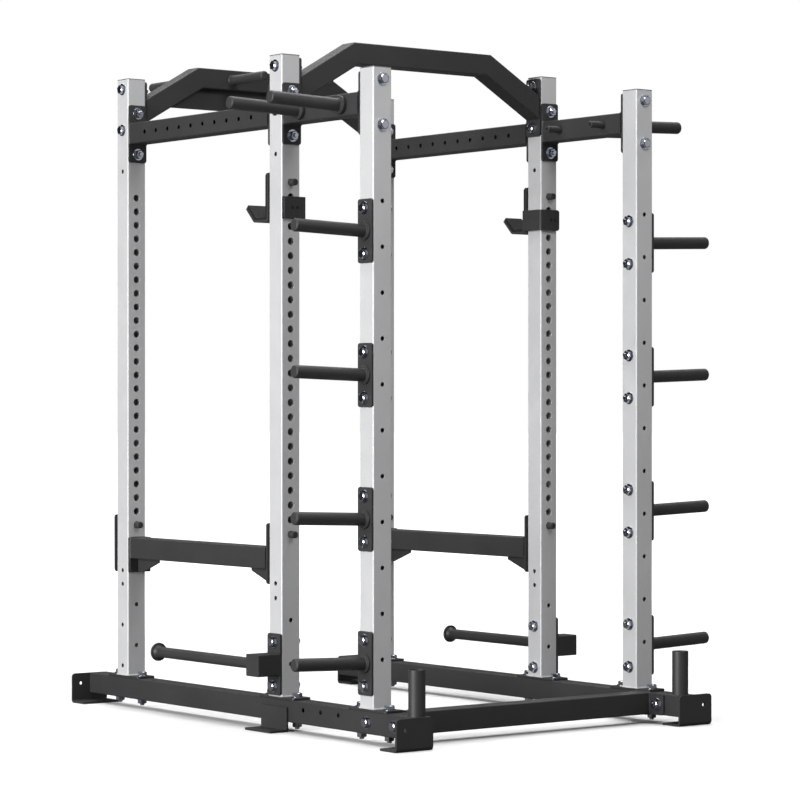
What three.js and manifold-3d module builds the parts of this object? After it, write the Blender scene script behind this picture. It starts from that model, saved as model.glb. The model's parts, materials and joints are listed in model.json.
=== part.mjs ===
// Power cage with a lifting bay, a plate storage bay, two arched top bars, two hinged
// J-cups and two hinged safety bars. Millimetres, +Z up, -Y is the storage end.
// The origin lies on the floor, under the middle of the whole cage.
// Every paired piece is designed on the +X side and mirrored for the left side.
import * as THREE from 'three';
import { mergeVertices } from 'three/addons/utils/BufferGeometryUtils.js';
import Module from 'manifold-3d';

const wasm = await Module();
wasm.setup();

// ---- Stock ----
const TUBE = 75;
const HALF = TUBE / 2;
const WALL = 3;
const BORE = TUBE - 2 * WALL;
const TUBE_RADIUS = 4.5;
const PLATE = 8;
const PLATE_LENGTH = 210;
const PLATE_RADIUS = 9;
const BOLT_OFFSET = 75;
const BOLT_HOLE = 8.5;
const SMALL_HOLE = 7.5;
const GAP = 0.3;
const ROUND_SIDES = 12;
const BORE_SIDES = 8;
const HOLE_SIDES = 6;
const OVERRUN = 1;
const MERGE_TOLERANCE = 1e-4;

// ---- Plan: the centre lines of the uprights ----
const OVERALL_DEPTH = 2002;
const WIDTH_PITCH = 1155;
const LIFTING_PITCH = 975;
const STORAGE_PITCH = 516;
const GRIP_REACH = 215;
const SIDE_X = WIDTH_PITCH / 2;
const FRONT_Y = OVERALL_DEPTH / 2 - GRIP_REACH - HALF;
const MID_Y = FRONT_Y - LIFTING_PITCH;
const REAR_Y = MID_Y - STORAGE_PITCH;
const INNER_X = SIDE_X - HALF;
const OUTER_X = SIDE_X + HALF;

// ---- Heights ----
const RAIL_BOTTOM = 33;
const RAIL_TOP = RAIL_BOTTOM + TUBE;
const RAIL_Z = RAIL_BOTTOM + HALF;
const UPRIGHT_BOTTOM = RAIL_TOP + PLATE;
const TALL_TOP = 2302;
const SHORT_TOP = 2213.5;
const BEAM_Z = 2101.5;
const ARCH_Z = 2328.5;

// ---- Adjustment holes in the tall uprights ----
const PIN_PITCH = 50;
const PIN_COUNT = 25;
const PIN_TOP_Z = 1867.5;
const PIN_BOTTOM_Z = PIN_TOP_Z - (PIN_COUNT - 1) * PIN_PITCH;
const PIN_HOLE = 13;
const PIN_RADIUS = 12;

// ---- Small holes in the uprights ----
const LOW_HOLES_Z = [376, 226];
const SIDE_HOLES_Z = [1965, 500.5, 450.5];
const STORAGE_HOLE_Z = 277;
const STORAGE_HOLE_PITCH = 150;
const STORAGE_HOLE_COUNT = 11;

// ---- Base ----
const FRONT_OVERHANG = 191;
const RAIL_FRONT = FRONT_Y + HALF + FRONT_OVERHANG;
const RAIL_REAR = -OVERALL_DEPTH / 2 + PLATE;
const FOOT_REACH = 75;
const FOOT_FLANGE = 80;
const MID_FOOT_LENGTH = 151;
const MID_FOOT_TOP = 84;
const CROSS_Y = REAR_Y - TUBE - 2.5;
const RAIL_HOLES = [-387, -486.5, -586];
const RAIL_HOLE_Z = 81;

// ---- Vertical sleeves that hold bars at the rear corners ----
const SLEEVE_Y = -962.5;
const SLEEVE_HEIGHT = 150;
const SLEEVE_OUTER = 28;
const SLEEVE_INNER = 25.5;

// ---- Side beams ----
const BEAM_HOLE_PITCH = 75.5;
const BEAM_HOLE_COUNT = 10;

// ---- Arches ----
const ARCH_BEND_X = 295;
const ARCH_SLOPE = THREE.MathUtils.degToRad(30);
const ARCH_PLATE_Z = ARCH_Z - (INNER_X - PLATE - ARCH_BEND_X) * Math.tan(ARCH_SLOPE);
const SIGN_BOTTOM = 2213;
const SIGN_THICKNESS = 4;

// ---- Grips on the front arch ----
const GRIP_RADIUS = 17.5;
const GRIP_WALL = 2.5;
const TIP_EASE = 5;
const REAR_GRIP_X = 150;
const REAR_GRIP_LENGTH = 210;
const FRONT_GRIP_X = 324;

// ---- Storage pegs ----
const PEG_RADIUS = 21.5;
const PEG_WALL = 3;
const PEG_TILT = THREE.MathUtils.degToRad(2);
const PEG_REACH = 293;
const PEG_SINK = 2;
const COLLAR_EASE = 2;
const PEG_TOP_Z = 1679;
const PEG_PITCH = 471.5;
const PEG_COUNT = 4;
const COLLAR_RADIUS = 31.5;
const PEG_COLLAR = 7;
const BEAM_PEG_YS = [-369, -602];
const BEAM_PEG_REACH = 290;
const BEAM_PEG_COLLAR = 14;
const BAND_PIN_LENGTH = 62;
const BAND_PIN_BORE = 4;

// ---- Low side bars ----
const SIDE_BAR_Z = 225.5;
const SIDE_BAR_BOX = 96.5;
const SIDE_BAR_RADIUS = 19;
const SIDE_BAR_WALL = 3;
const SIDE_BAR_END_Y = 429;
const DISC_RADIUS = 32.5;
const DISC_THICKNESS = 9;
const DISC_FLARE = 16;
const DISC_EASE = 2;

// ---- Hooked fittings, shared by the J-cups and the safety bars ----
const PAD = 7.5;
const PIN_PROUD = 27;
const PLATE_ABOVE_PIN = 36.5;
const STRAP_OUT = PAD + PLATE;

// ---- J-cup ----
const CUP_TOP = PIN_TOP_Z + PLATE_ABOVE_PIN;
const CUP_HEIGHT = 167;
const CUP_BOTTOM = CUP_TOP - CUP_HEIGHT;
const CUP_FLOOR = 93;
const CUP_LIP = 48;
const CUP_LINER = 8;
const CUP_SEAT = 8;
const CUP_LIP_LINER = 13;
const CUP_STRAP_TOP = PIN_TOP_Z - 48.5;
const CUP_STRAP_ZS = [CUP_STRAP_TOP - TUBE, CUP_STRAP_TOP];
const CUP_PLATE_ZS = [CUP_BOTTOM, CUP_TOP];
const CUP_FACE = MID_Y + HALF;
const LIP_STEEL = PLATE * Math.SQRT1_2;

// ---- Safety bar ----
const SAFETY_PAD = 12;
const SAFETY_HEIGHT = 209;
const SAFETY_TOP = PIN_BOTTOM_Z + PLATE_ABOVE_PIN;
const SAFETY_BOTTOM = SAFETY_TOP - SAFETY_HEIGHT;
const SAFETY_PLATE_ZS = [SAFETY_BOTTOM, SAFETY_TOP];
const SAFETY_STRAP_ZS = [SAFETY_BOTTOM, PIN_BOTTOM_Z - 45.5];
const SAFETY_BEAM_Z = 584;
const GUSSET_LENGTH = 136;
const GUSSET_LIP = 12;
const GUSSET_FOOT = 4 * PLATE;
const GUSSET_LIFT = 2;

// ---- Coats ----
const SILVER = new THREE.MeshStandardMaterial({ color: 0xc9cacb, roughness: 0.55, metalness: 0.6 });
const BLACK = new THREE.MeshStandardMaterial({ color: 0x3c3c3e, roughness: 0.5, metalness: 0.3 });
const PLASTIC = new THREE.MeshStandardMaterial({ color: 0x26262a, roughness: 0.6, metalness: 0 });

const cage = new THREE.Group();

// ---- Solids ----

/** A closed three.js geometry as a solid; a profile may run either way round. */
function solid(geometry) {
  const bare = geometry.clone();
  bare.deleteAttribute('normal');
  bare.deleteAttribute('uv');
  const merged = mergeVertices(bare, MERGE_TOLERANCE);
  const vertProperties = Float32Array.from(merged.attributes.position.array);
  const triVerts = Uint32Array.from(merged.index.array);
  const first = new wasm.Manifold(new wasm.Mesh({ numProp: 3, vertProperties, triVerts }));
  if (first.volume() > 0) {
    return first;
  }
  for (let i = 0; i < triVerts.length; i += 3) {
    [triVerts[i], triVerts[i + 1]] = [triVerts[i + 1], triVerts[i]];
  }
  return new wasm.Manifold(new wasm.Mesh({ numProp: 3, vertProperties, triVerts }));
}

/** A solid back as a three.js geometry. */
function geometryOf(body) {
  const { vertProperties, triVerts } = body.getMesh();
  const geometry = new THREE.BufferGeometry();
  geometry.setAttribute('position', new THREE.BufferAttribute(new Float32Array(vertProperties), 3));
  geometry.setIndex(new THREE.BufferAttribute(new Uint32Array(triVerts), 1));
  geometry.computeVertexNormals();
  return geometry;
}

function join(...bodies) {
  return bodies.reduce((whole, body) => whole.add(body));
}

/** A box between two limits on each axis. */
function block([x0, x1], [y0, y1], [z0, z1]) {
  const geometry = new THREE.BoxGeometry(x1 - x0, y1 - y0, z1 - z0);
  geometry.translate((x0 + x1) / 2, (y0 + y1) / 2, (z0 + z1) / 2);
  return solid(geometry);
}

/** Turns a shape that was extruded along +Z so that it runs along the named axis. */
function turnTo(geometry, axis) {
  if (axis === 'x') {
    geometry.rotateY(Math.PI / 2);
  }
  if (axis === 'y') {
    geometry.rotateX(-Math.PI / 2);
  }
  return geometry;
}

/** A round bar or drill along an axis, from one point for a length. */
function rod(axis, radius, length, [x, y, z], sides = HOLE_SIDES) {
  const geometry = new THREE.CylinderGeometry(radius, radius, length, sides);
  geometry.rotateX(Math.PI / 2);
  geometry.rotateZ(Math.PI / sides);
  geometry.translate(0, 0, length / 2);
  return solid(turnTo(geometry, axis).translate(x, y, z));
}

/** A turned piece: [distance along the axis, radius] pairs, revolved about +X. */
function turned(profile, sides) {
  const points = profile.map(([along, radius]) => new THREE.Vector2(radius, along));
  const geometry = new THREE.LatheGeometry([...points, points[0]], sides);
  return geometry.rotateZ(-Math.PI / 2);
}

/** Corner points of a regular polygon that stands for a circle. */
function ring(radius, sides, [cx, cy] = [0, 0]) {
  return Array.from({ length: sides }, (_, i) => {
    const angle = (2 * Math.PI * (i + 0.5)) / sides;
    return new THREE.Vector2(cx + radius * Math.cos(angle), cy + radius * Math.sin(angle));
  });
}

/** Rectangle about the origin with its four corners eased. */
function easedRectangle(width, height, radius) {
  const steps = 2;
  const points = [];
  for (let corner = 0; corner < 4; corner += 1) {
    const cx = (width / 2 - radius) * (corner === 0 || corner === 3 ? 1 : -1);
    const cy = (height / 2 - radius) * (corner < 2 ? 1 : -1);
    for (let i = 0; i <= steps; i += 1) {
      const angle = (corner + i / steps) * (Math.PI / 2);
      points.push(new THREE.Vector2(cx + radius * Math.cos(angle), cy + radius * Math.sin(angle)));
    }
  }
  return new THREE.Shape(points);
}

function extruded(shape, depth) {
  return new THREE.ExtrudeGeometry(shape, { depth, bevelEnabled: false });
}

/** Square tube along an axis; its bore runs on past both ends by the given length. */
function squareTube(axis, [start, end], centre, through = 0) {
  const length = end - start;
  const outer = turnTo(extruded(easedRectangle(TUBE, TUBE, TUBE_RADIUS), length), axis);
  const bore = new THREE.BoxGeometry(BORE, BORE, length + 2 * (through + OVERRUN));
  const offset = new THREE.Vector3(...centre).setComponent('xyz'.indexOf(axis), start);
  outer.translate(offset.x, offset.y, offset.z);
  offset.setComponent('xyz'.indexOf(axis), (start + end) / 2);
  turnTo(bore, axis).translate(offset.x, offset.y, offset.z);
  return { outer: solid(outer), bore: solid(bore) };
}

/** The square space inside a tube, between two limits along Y. */
function boreAlongY(ys, z) {
  return block([SIDE_X - BORE / 2, SIDE_X + BORE / 2], ys, [z - BORE / 2, z + BORE / 2]);
}

/** Flat plate with two bolt holes. The long side runs along `long`, the thickness along `normal`. */
function boltPlate(normal, long, [x, y, z]) {
  const shape = easedRectangle(TUBE, PLATE_LENGTH, PLATE_RADIUS);
  shape.holes = [-1, 1].map((side) => new THREE.Path(ring(BOLT_HOLE, HOLE_SIDES, [0, side * BOLT_OFFSET])));
  const geometry = extruded(shape, PLATE);
  if (normal === 'x') {
    geometry.rotateX(Math.PI / 2);
    geometry.rotateZ(Math.PI / 2);
    if (long === 'y') {
      geometry.rotateX(Math.PI / 2);
    }
  }
  if (normal === 'y') {
    geometry.rotateX(Math.PI / 2);
    geometry.translate(0, PLATE, 0);
  }
  return solid(geometry.translate(x, y, z));
}

/** An outline in the Y-Z plane, pulled along X between two limits. */
function pulledAlongX(points, [x0, x1]) {
  const shape = new THREE.Shape(points.map(([y, z]) => new THREE.Vector2(y, z)));
  const geometry = extruded(shape, x1 - x0);
  geometry.rotateX(Math.PI / 2);
  geometry.rotateZ(Math.PI / 2);
  return solid(geometry.translate(x0, 0, 0));
}

/** An outline in the X-Z plane, pulled along Y and centred on a middle line. */
function pulledAlongY(points, depth, middle) {
  const shape = new THREE.Shape(points.map(([x, z]) => new THREE.Vector2(x, z)));
  const geometry = extruded(shape, depth);
  geometry.rotateX(Math.PI / 2);
  return solid(geometry.translate(0, middle + depth / 2, 0));
}

function add(name, body, material, mirrored = false) {
  const mesh = new THREE.Mesh(geometryOf(body), material);
  mesh.name = name;
  mesh.scale.x = mirrored ? -1 : 1;
  cage.add(mesh);
}

/** A right-hand piece and its mirror image on the left. */
function addPair(name, body, material) {
  add(`${name}_right`, body, material);
  add(`${name}_left`, body, material, true);
}

// ---- Uprights and their foot plates ----

/** Pin holes and side holes run right through; the small rear holes go through one wall. */
function drilledUpright(y, top, rearHoles, sideHoles, pinHoles) {
  const tube = squareTube('z', [UPRIGHT_BOTTOM, top], [SIDE_X, y, 0]);
  let body = tube.outer.subtract(tube.bore);
  for (const z of pinHoles) {
    const sides = z === PIN_TOP_Z || z === PIN_BOTTOM_Z ? ROUND_SIDES : HOLE_SIDES;
    body = body.subtract(rod('y', PIN_HOLE, 2 * TUBE, [SIDE_X, y - TUBE, z], sides));
  }
  for (const z of rearHoles) {
    body = body.subtract(rod('y', SMALL_HOLE, TUBE, [SIDE_X, y - TUBE, z]));
  }
  for (const z of sideHoles) {
    body = body.subtract(rod('x', SMALL_HOLE, 2 * TUBE, [SIDE_X - TUBE, y, z]));
  }
  return body;
}

function makeUprights() {
  const pinHoles = Array.from({ length: PIN_COUNT }, (_, i) => PIN_TOP_Z - i * PIN_PITCH);
  const sideHoles = [...SIDE_HOLES_Z, SIDE_BAR_Z + BOLT_OFFSET, SIDE_BAR_Z - BOLT_OFFSET];
  const storageHoles = Array.from(
    { length: STORAGE_HOLE_COUNT },
    (_, i) => STORAGE_HOLE_Z + STORAGE_HOLE_PITCH * i,
  );
  addPair('upright_front', drilledUpright(FRONT_Y, TALL_TOP, LOW_HOLES_Z, sideHoles, pinHoles), SILVER);
  addPair('upright_middle', drilledUpright(MID_Y, TALL_TOP, LOW_HOLES_Z, sideHoles, pinHoles), SILVER);
  addPair('upright_rear', drilledUpright(REAR_Y, SHORT_TOP, storageHoles, [], []), SILVER);
  const rows = { front: FRONT_Y, middle: MID_Y, rear: REAR_Y };
  for (const [row, y] of Object.entries(rows)) {
    addPair(`foot_plate_${row}`, boltPlate('z', 'y', [SIDE_X, y, RAIL_TOP]), BLACK);
  }
}

// ---- Base: rails, crossmember, feet and bar sleeves ----

function makeRail() {
  const tube = squareTube('y', [RAIL_REAR, RAIL_FRONT], [SIDE_X, 0, RAIL_Z]);
  let body = tube.outer.subtract(tube.bore);
  for (const y of RAIL_HOLES) {
    body = body.subtract(rod('x', SMALL_HOLE, TUBE, [SIDE_X, y, RAIL_HOLE_Z]));
  }
  addPair('base_rail', body, BLACK);
}

function makeCrossmember() {
  const end = INNER_X - PLATE;
  const tube = squareTube('x', [-end, end], [0, CROSS_Y, RAIL_Z], PLATE);
  const flanges = [-INNER_X, end].map((x) => boltPlate('x', 'y', [x, CROSS_Y, RAIL_Z]));
  add('rear_crossmember', join(tube.outer, ...flanges).subtract(tube.bore), BLACK);
}

/** Corner foot: an upright plate over the rail's end and a flange on the floor below the rail. */
function cornerFoot(endY, outward) {
  const faceY = endY + outward * PLATE;
  const flangeY = endY - outward * FOOT_FLANGE;
  const xs = [INNER_X, OUTER_X + FOOT_REACH];
  const plateYs = [Math.min(endY, faceY), Math.max(endY, faceY)];
  const flangeYs = [Math.min(faceY, flangeY), Math.max(faceY, flangeY)];
  const plate = block(xs, plateYs, [0, RAIL_TOP - GAP]);
  const flange = block(xs, flangeYs, [0, PLATE]);
  const hole = rod('y', SMALL_HOLE, 4 * PLATE, [OUTER_X + FOOT_REACH / 2, endY - 2 * PLATE, RAIL_Z]);
  return join(plate, flange).subtract(hole);
}

function middleFoot() {
  const ys = [MID_Y - MID_FOOT_LENGTH / 2, MID_Y + MID_FOOT_LENGTH / 2];
  const plate = block([OUTER_X, OUTER_X + PLATE], ys, [0, MID_FOOT_TOP]);
  const flange = block([OUTER_X, OUTER_X + FOOT_REACH], ys, [0, PLATE]);
  return join(plate, flange);
}

function barSleeve() {
  const profile = [
    [0, SLEEVE_INNER],
    [SLEEVE_HEIGHT, SLEEVE_INNER],
    [SLEEVE_HEIGHT, SLEEVE_OUTER],
    [0, SLEEVE_OUTER],
  ];
  const geometry = turned(profile, 16).rotateY(-Math.PI / 2);
  return solid(geometry.translate(SIDE_X, SLEEVE_Y, RAIL_TOP));
}

function makeBase() {
  makeRail();
  makeCrossmember();
  addPair('corner_foot_front', cornerFoot(RAIL_FRONT, 1), BLACK);
  addPair('corner_foot_rear', cornerFoot(RAIL_REAR, -1), BLACK);
  addPair('middle_foot', middleFoot(), BLACK);
  addPair('bar_sleeve', barSleeve(), BLACK);
}

// ---- Top side beams with their welded end plates ----

function sideBeam(rearFace, frontFace, holeYs, radius, sides) {
  const start = rearFace + PLATE;
  const end = frontFace - PLATE;
  const tube = squareTube('y', [start, end], [SIDE_X, 0, BEAM_Z], PLATE);
  const plates = [rearFace, end].map((y) => boltPlate('y', 'z', [SIDE_X, y, BEAM_Z]));
  let body = join(tube.outer, ...plates).subtract(tube.bore);
  for (const y of holeYs) {
    body = body.subtract(rod('x', radius, 2 * TUBE, [SIDE_X - TUBE, y, BEAM_Z], sides));
  }
  return body;
}

function makeBeams() {
  const firstY = (MID_Y + FRONT_Y - (BEAM_HOLE_COUNT - 1) * BEAM_HOLE_PITCH) / 2;
  const holeYs = Array.from({ length: BEAM_HOLE_COUNT }, (_, i) => firstY + i * BEAM_HOLE_PITCH);
  const front = sideBeam(MID_Y + HALF, FRONT_Y - HALF, holeYs, SMALL_HOLE, HOLE_SIDES);
  const rear = sideBeam(REAR_Y + HALF, MID_Y - HALF, BEAM_PEG_YS, PIN_HOLE, ROUND_SIDES);
  addPair('side_beam_front', front, BLACK);
  addPair('side_beam_rear', rear, BLACK);
}

// ---- Arches ----

/** Half-band outline of the arch in X-Z, `half` either side of its centre line, out to `reach`. */
function archOutline(half, reach) {
  const miter = half * Math.tan(ARCH_SLOPE / 2);
  const rise = half / Math.cos(ARCH_SLOPE);
  const end = ARCH_Z - (reach - ARCH_BEND_X) * Math.tan(ARCH_SLOPE);
  const right = [
    [ARCH_BEND_X + miter, ARCH_Z + half],
    [reach, end + rise],
    [reach, end - rise],
    [ARCH_BEND_X - miter, ARCH_Z - half],
  ];
  const left = right.map(([x, z]) => [-x, z]).reverse();
  return [...right, ...left];
}

function arch(y) {
  const end = INNER_X - PLATE;
  const outer = pulledAlongY(archOutline(HALF, end), TUBE, y);
  const bore = pulledAlongY(archOutline(HALF - WALL, INNER_X + OVERRUN), BORE, y);
  const plates = [-INNER_X, end].map((x) => boltPlate('x', 'z', [x, y, ARCH_PLATE_Z]));
  return join(outer, ...plates).subtract(bore);
}

/** Flat panel that fills the front arch below its level bar. */
function signPanel() {
  const slope = Math.tan(ARCH_SLOPE);
  const clearance = GAP / Math.sin(ARCH_SLOPE);
  const top = ARCH_Z - HALF - GAP;
  const shoulder = ARCH_BEND_X - HALF * Math.tan(ARCH_SLOPE / 2) - clearance;
  const foot = shoulder + (top - SIGN_BOTTOM) / slope;
  const outline = [[shoulder, top], [foot, SIGN_BOTTOM], [-foot, SIGN_BOTTOM], [-shoulder, top]];
  return pulledAlongY(outline, SIGN_THICKNESS, FRONT_Y);
}

/** Round grip with a closed, eased tip, standing off the arch along Y. */
function grip(x, z, direction, length) {
  const profile = [
    [0, GRIP_RADIUS - GRIP_WALL],
    [length - GRIP_WALL, GRIP_RADIUS - GRIP_WALL],
    [length - GRIP_WALL, 0],
    [length, 0],
    [length, GRIP_RADIUS - TIP_EASE],
    [length - TIP_EASE, GRIP_RADIUS],
    [0, GRIP_RADIUS],
  ];
  const geometry = turned(profile, 10).rotateZ(direction * Math.PI / 2);
  return solid(geometry.translate(x, FRONT_Y + direction * HALF, z));
}

function makeArches() {
  add('arch_middle', arch(MID_Y), BLACK);
  add('arch_front', arch(FRONT_Y), BLACK);
  add('sign_panel', signPanel(), BLACK);
  const legZ = ARCH_Z - (FRONT_GRIP_X - ARCH_BEND_X) * Math.tan(ARCH_SLOPE);
  addPair('grip_rear', grip(REAR_GRIP_X, ARCH_Z, -1, REAR_GRIP_LENGTH), BLACK);
  addPair('grip_front', grip(FRONT_GRIP_X, legZ, 1, GRIP_REACH), BLACK);
}

// ---- Storage pegs ----

/** Hollow peg that tilts up from its root at the origin, with a root collar and an eased tip. */
function peg(reach, collar) {
  const outer = turned([
    [0, 0],
    [0, COLLAR_RADIUS],
    [collar, COLLAR_RADIUS - COLLAR_EASE],
    [collar, PEG_RADIUS],
    [reach - TIP_EASE, PEG_RADIUS],
    [reach, PEG_RADIUS - TIP_EASE],
    [reach, 0],
  ], ROUND_SIDES);
  const bore = turned([
    [-TUBE, 0],
    [-TUBE, PEG_RADIUS - PEG_WALL],
    [reach - PEG_WALL, PEG_RADIUS - PEG_WALL],
    [reach - PEG_WALL, 0],
  ], BORE_SIDES);
  return { outer: outer.rotateY(-PEG_TILT), bore: bore.rotateY(-PEG_TILT) };
}

/** The peg's root is sunk a little and trimmed flat, so that the tilt leaves no wedge of air. */
function trimmedPeg(reach, collar, [x, y, z]) {
  const { outer, bore } = peg(reach + PEG_SINK, collar + PEG_SINK);
  outer.translate(x - PEG_SINK, y, z);
  bore.translate(x - PEG_SINK, y, z);
  const behind = block([x - TUBE, x], [y - TUBE, y + TUBE], [z - TUBE, z + TUBE]);
  return { outer: solid(outer).subtract(behind), bore: solid(bore) };
}

function uprightPeg(z) {
  const { outer, bore } = trimmedPeg(PEG_REACH - PLATE, PEG_COLLAR, [OUTER_X + PLATE, REAR_Y, z]);
  const plate = boltPlate('x', 'z', [OUTER_X, REAR_Y, z]);
  return join(plate, outer).subtract(bore);
}

/** Beam peg: its drilled pin runs through the beam and stands out on the inner side. */
function beamPeg(y) {
  const { outer, bore } = trimmedPeg(BEAM_PEG_REACH, BEAM_PEG_COLLAR, [OUTER_X, y, BEAM_Z]);
  const start = INNER_X - BAND_PIN_LENGTH;
  const pinLength = OUTER_X + PEG_WALL - start;
  const root = rod('x', PIN_RADIUS, pinLength, [start, y, BEAM_Z], ROUND_SIDES);
  const closing = rod('x', PEG_RADIUS, PEG_WALL, [OUTER_X, y, BEAM_Z], ROUND_SIDES);
  const drill = rod('x', BAND_PIN_BORE, pinLength + 2 * PEG_WALL, [start - PEG_WALL, y, BEAM_Z]);
  return join(outer.subtract(bore), closing, root).subtract(drill);
}

function makePegs() {
  for (let i = 0; i < PEG_COUNT; i += 1) {
    addPair(`storage_peg_${i + 1}`, uprightPeg(PEG_TOP_Z - i * PEG_PITCH), BLACK);
  }
  BEAM_PEG_YS.forEach((y, i) => addPair(`beam_peg_${i + 1}`, beamPeg(y), BLACK));
}

// ---- Low side bars ----

/** Box stub bolted to a middle upright, carrying a round bar that runs forward to a disc. */
function sideBar() {
  const boxEnd = OUTER_X + SIDE_BAR_BOX;
  const barX = (OUTER_X + PLATE + boxEnd) / 2;
  const barStart = MID_Y + HALF;
  const length = SIDE_BAR_END_Y - barStart;
  const plate = boltPlate('x', 'z', [OUTER_X, MID_Y, SIDE_BAR_Z]);
  const stub = squareTube('x', [OUTER_X + PLATE, boxEnd], [0, MID_Y, SIDE_BAR_Z]).outer;
  const bar = turned([
    [-WALL, 0],
    [-WALL, SIDE_BAR_RADIUS],
    [length - DISC_THICKNESS - DISC_FLARE, SIDE_BAR_RADIUS],
    [length - DISC_THICKNESS, DISC_RADIUS],
    [length - DISC_EASE, DISC_RADIUS],
    [length, DISC_RADIUS - DISC_EASE],
    [length, 0],
  ], ROUND_SIDES).rotateZ(Math.PI / 2).translate(barX, barStart, SIDE_BAR_Z);
  const stubBore = block(
    [OUTER_X - OVERRUN, boxEnd - WALL],
    [MID_Y - BORE / 2, MID_Y + BORE / 2],
    [SIDE_BAR_Z - BORE / 2, SIDE_BAR_Z + BORE / 2],
  );
  const barBore = rod(
    'y',
    SIDE_BAR_RADIUS - SIDE_BAR_WALL,
    length + HALF - 2 * DISC_THICKNESS,
    [barX, MID_Y, SIDE_BAR_Z],
    BORE_SIDES,
  );
  return join(plate, stub, solid(bar)).subtract(stubBore).subtract(barBore);
}

// ---- J-cups ----

/** Steel hook: a plate bent forward into a floor and a lip that rises at 45 degrees. */
function cupHookOutline() {
  const back = CUP_FACE + PAD;
  const floor = CUP_BOTTOM + PLATE;
  const lipFoot = CUP_FACE + CUP_FLOOR;
  const lipTip = lipFoot + CUP_LIP;
  const innerFoot = lipFoot - PLATE * Math.tan(Math.PI / 8);
  return [
    [back, CUP_TOP],
    [back, CUP_BOTTOM],
    [lipFoot, CUP_BOTTOM],
    [lipTip, CUP_BOTTOM + CUP_LIP],
    [lipTip - LIP_STEEL, CUP_BOTTOM + CUP_LIP + LIP_STEEL],
    [innerFoot, floor],
    [back + PLATE, floor],
    [back + PLATE, CUP_TOP],
  ];
}

/** Plastic liner that lies inside the hook. */
function cupLinerOutline() {
  const back = CUP_FACE + PAD + PLATE + GAP;
  const floor = CUP_BOTTOM + PLATE + GAP;
  const inset = (PLATE + GAP) * Math.SQRT1_2;
  const lipLiner = CUP_LIP_LINER * Math.SQRT1_2;
  const lipFoot = CUP_FACE + CUP_FLOOR;
  const outerFoot = lipFoot - (PLATE + GAP) * Math.tan(Math.PI / 8);
  const outerTip = [lipFoot + CUP_LIP - inset, CUP_BOTTOM + CUP_LIP + inset];
  const seat = floor + CUP_SEAT;
  const innerTip = [outerTip[0] - lipLiner, outerTip[1] + lipLiner];
  const innerFoot = innerTip[0] - (innerTip[1] - seat);
  return [
    [back, CUP_TOP],
    [back, floor],
    [outerFoot, floor],
    outerTip,
    innerTip,
    [innerFoot, seat],
    [back + CUP_LINER, seat],
    [back + CUP_LINER, CUP_TOP - CUP_LINER],
  ];
}

/** Steel strap from the front plate, round the inner side of the upright, to a rear plate. */
function strap(y, frontPad, [z0, z1]) {
  const frontFace = y + HALF;
  const rearFace = y - HALF;
  const outside = INNER_X - STRAP_OUT;
  const frontYs = [frontFace + frontPad, frontFace + frontPad + PLATE];
  const side = block([outside, INNER_X - PAD], [rearFace - STRAP_OUT, frontYs[1]], [z0, z1]);
  const front = block([outside, SIDE_X], frontYs, [z0, z1]);
  const rear = block([outside, OUTER_X], [rearFace - STRAP_OUT, rearFace - PAD], [z0, z1]);
  return join(side, front, rear);
}

/** Plastic pad that fills the space between such a strap, its front plate and the upright. */
function wrapPad(y, frontPad, plateZ, strapZ, pinZ) {
  const frontFace = y + HALF;
  const rearFace = y - HALF;
  const sideXs = [INNER_X - PAD + GAP, INNER_X - GAP];
  const frontYs = [frontFace + GAP, frontFace + frontPad - GAP];
  const rearYs = [rearFace - PAD + GAP, rearFace - GAP];
  const front = block([INNER_X, OUTER_X], frontYs, plateZ);
  const corner = block([sideXs[0], SIDE_X], frontYs, strapZ);
  const side = block(sideXs, [rearYs[0], frontYs[1]], strapZ);
  const rear = block([sideXs[0], OUTER_X], rearYs, strapZ);
  const pinHole = rod('y', PIN_RADIUS + 2 * GAP, TUBE, [SIDE_X, frontFace - HALF, pinZ], ROUND_SIDES);
  return join(front, corner, side, rear).subtract(pinHole);
}

function pin(y, z, front) {
  const start = y - HALF - PIN_PROUD;
  return rod('y', PIN_RADIUS, front - start, [SIDE_X, start, z], ROUND_SIDES);
}

function cupHook() {
  const hook = pulledAlongX(cupHookOutline(), [INNER_X, OUTER_X]);
  const pinEnd = CUP_FACE + PAD + PLATE / 2;
  return join(hook, strap(MID_Y, PAD, CUP_STRAP_ZS), pin(MID_Y, PIN_TOP_Z, pinEnd));
}

function cupPad() {
  return wrapPad(MID_Y, PAD, CUP_PLATE_ZS, CUP_STRAP_ZS, PIN_TOP_Z);
}

// ---- Safety bars ----

/** Triangular rib below one end of the safety beam. */
function gusset(endY, direction) {
  const top = SAFETY_BEAM_Z - HALF;
  const tip = endY + direction * GUSSET_LENGTH;
  const outline = [
    [endY - direction * GAP, top + OVERRUN],
    [tip, top + OVERRUN],
    [tip, top - GUSSET_LIP],
    [endY + direction * GUSSET_FOOT, SAFETY_BOTTOM + GUSSET_LIFT],
    [endY - direction * GAP, SAFETY_BOTTOM + GUSSET_LIFT],
  ];
  return pulledAlongX(outline, [SIDE_X - PLATE / 2, SIDE_X + PLATE / 2]);
}

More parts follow.
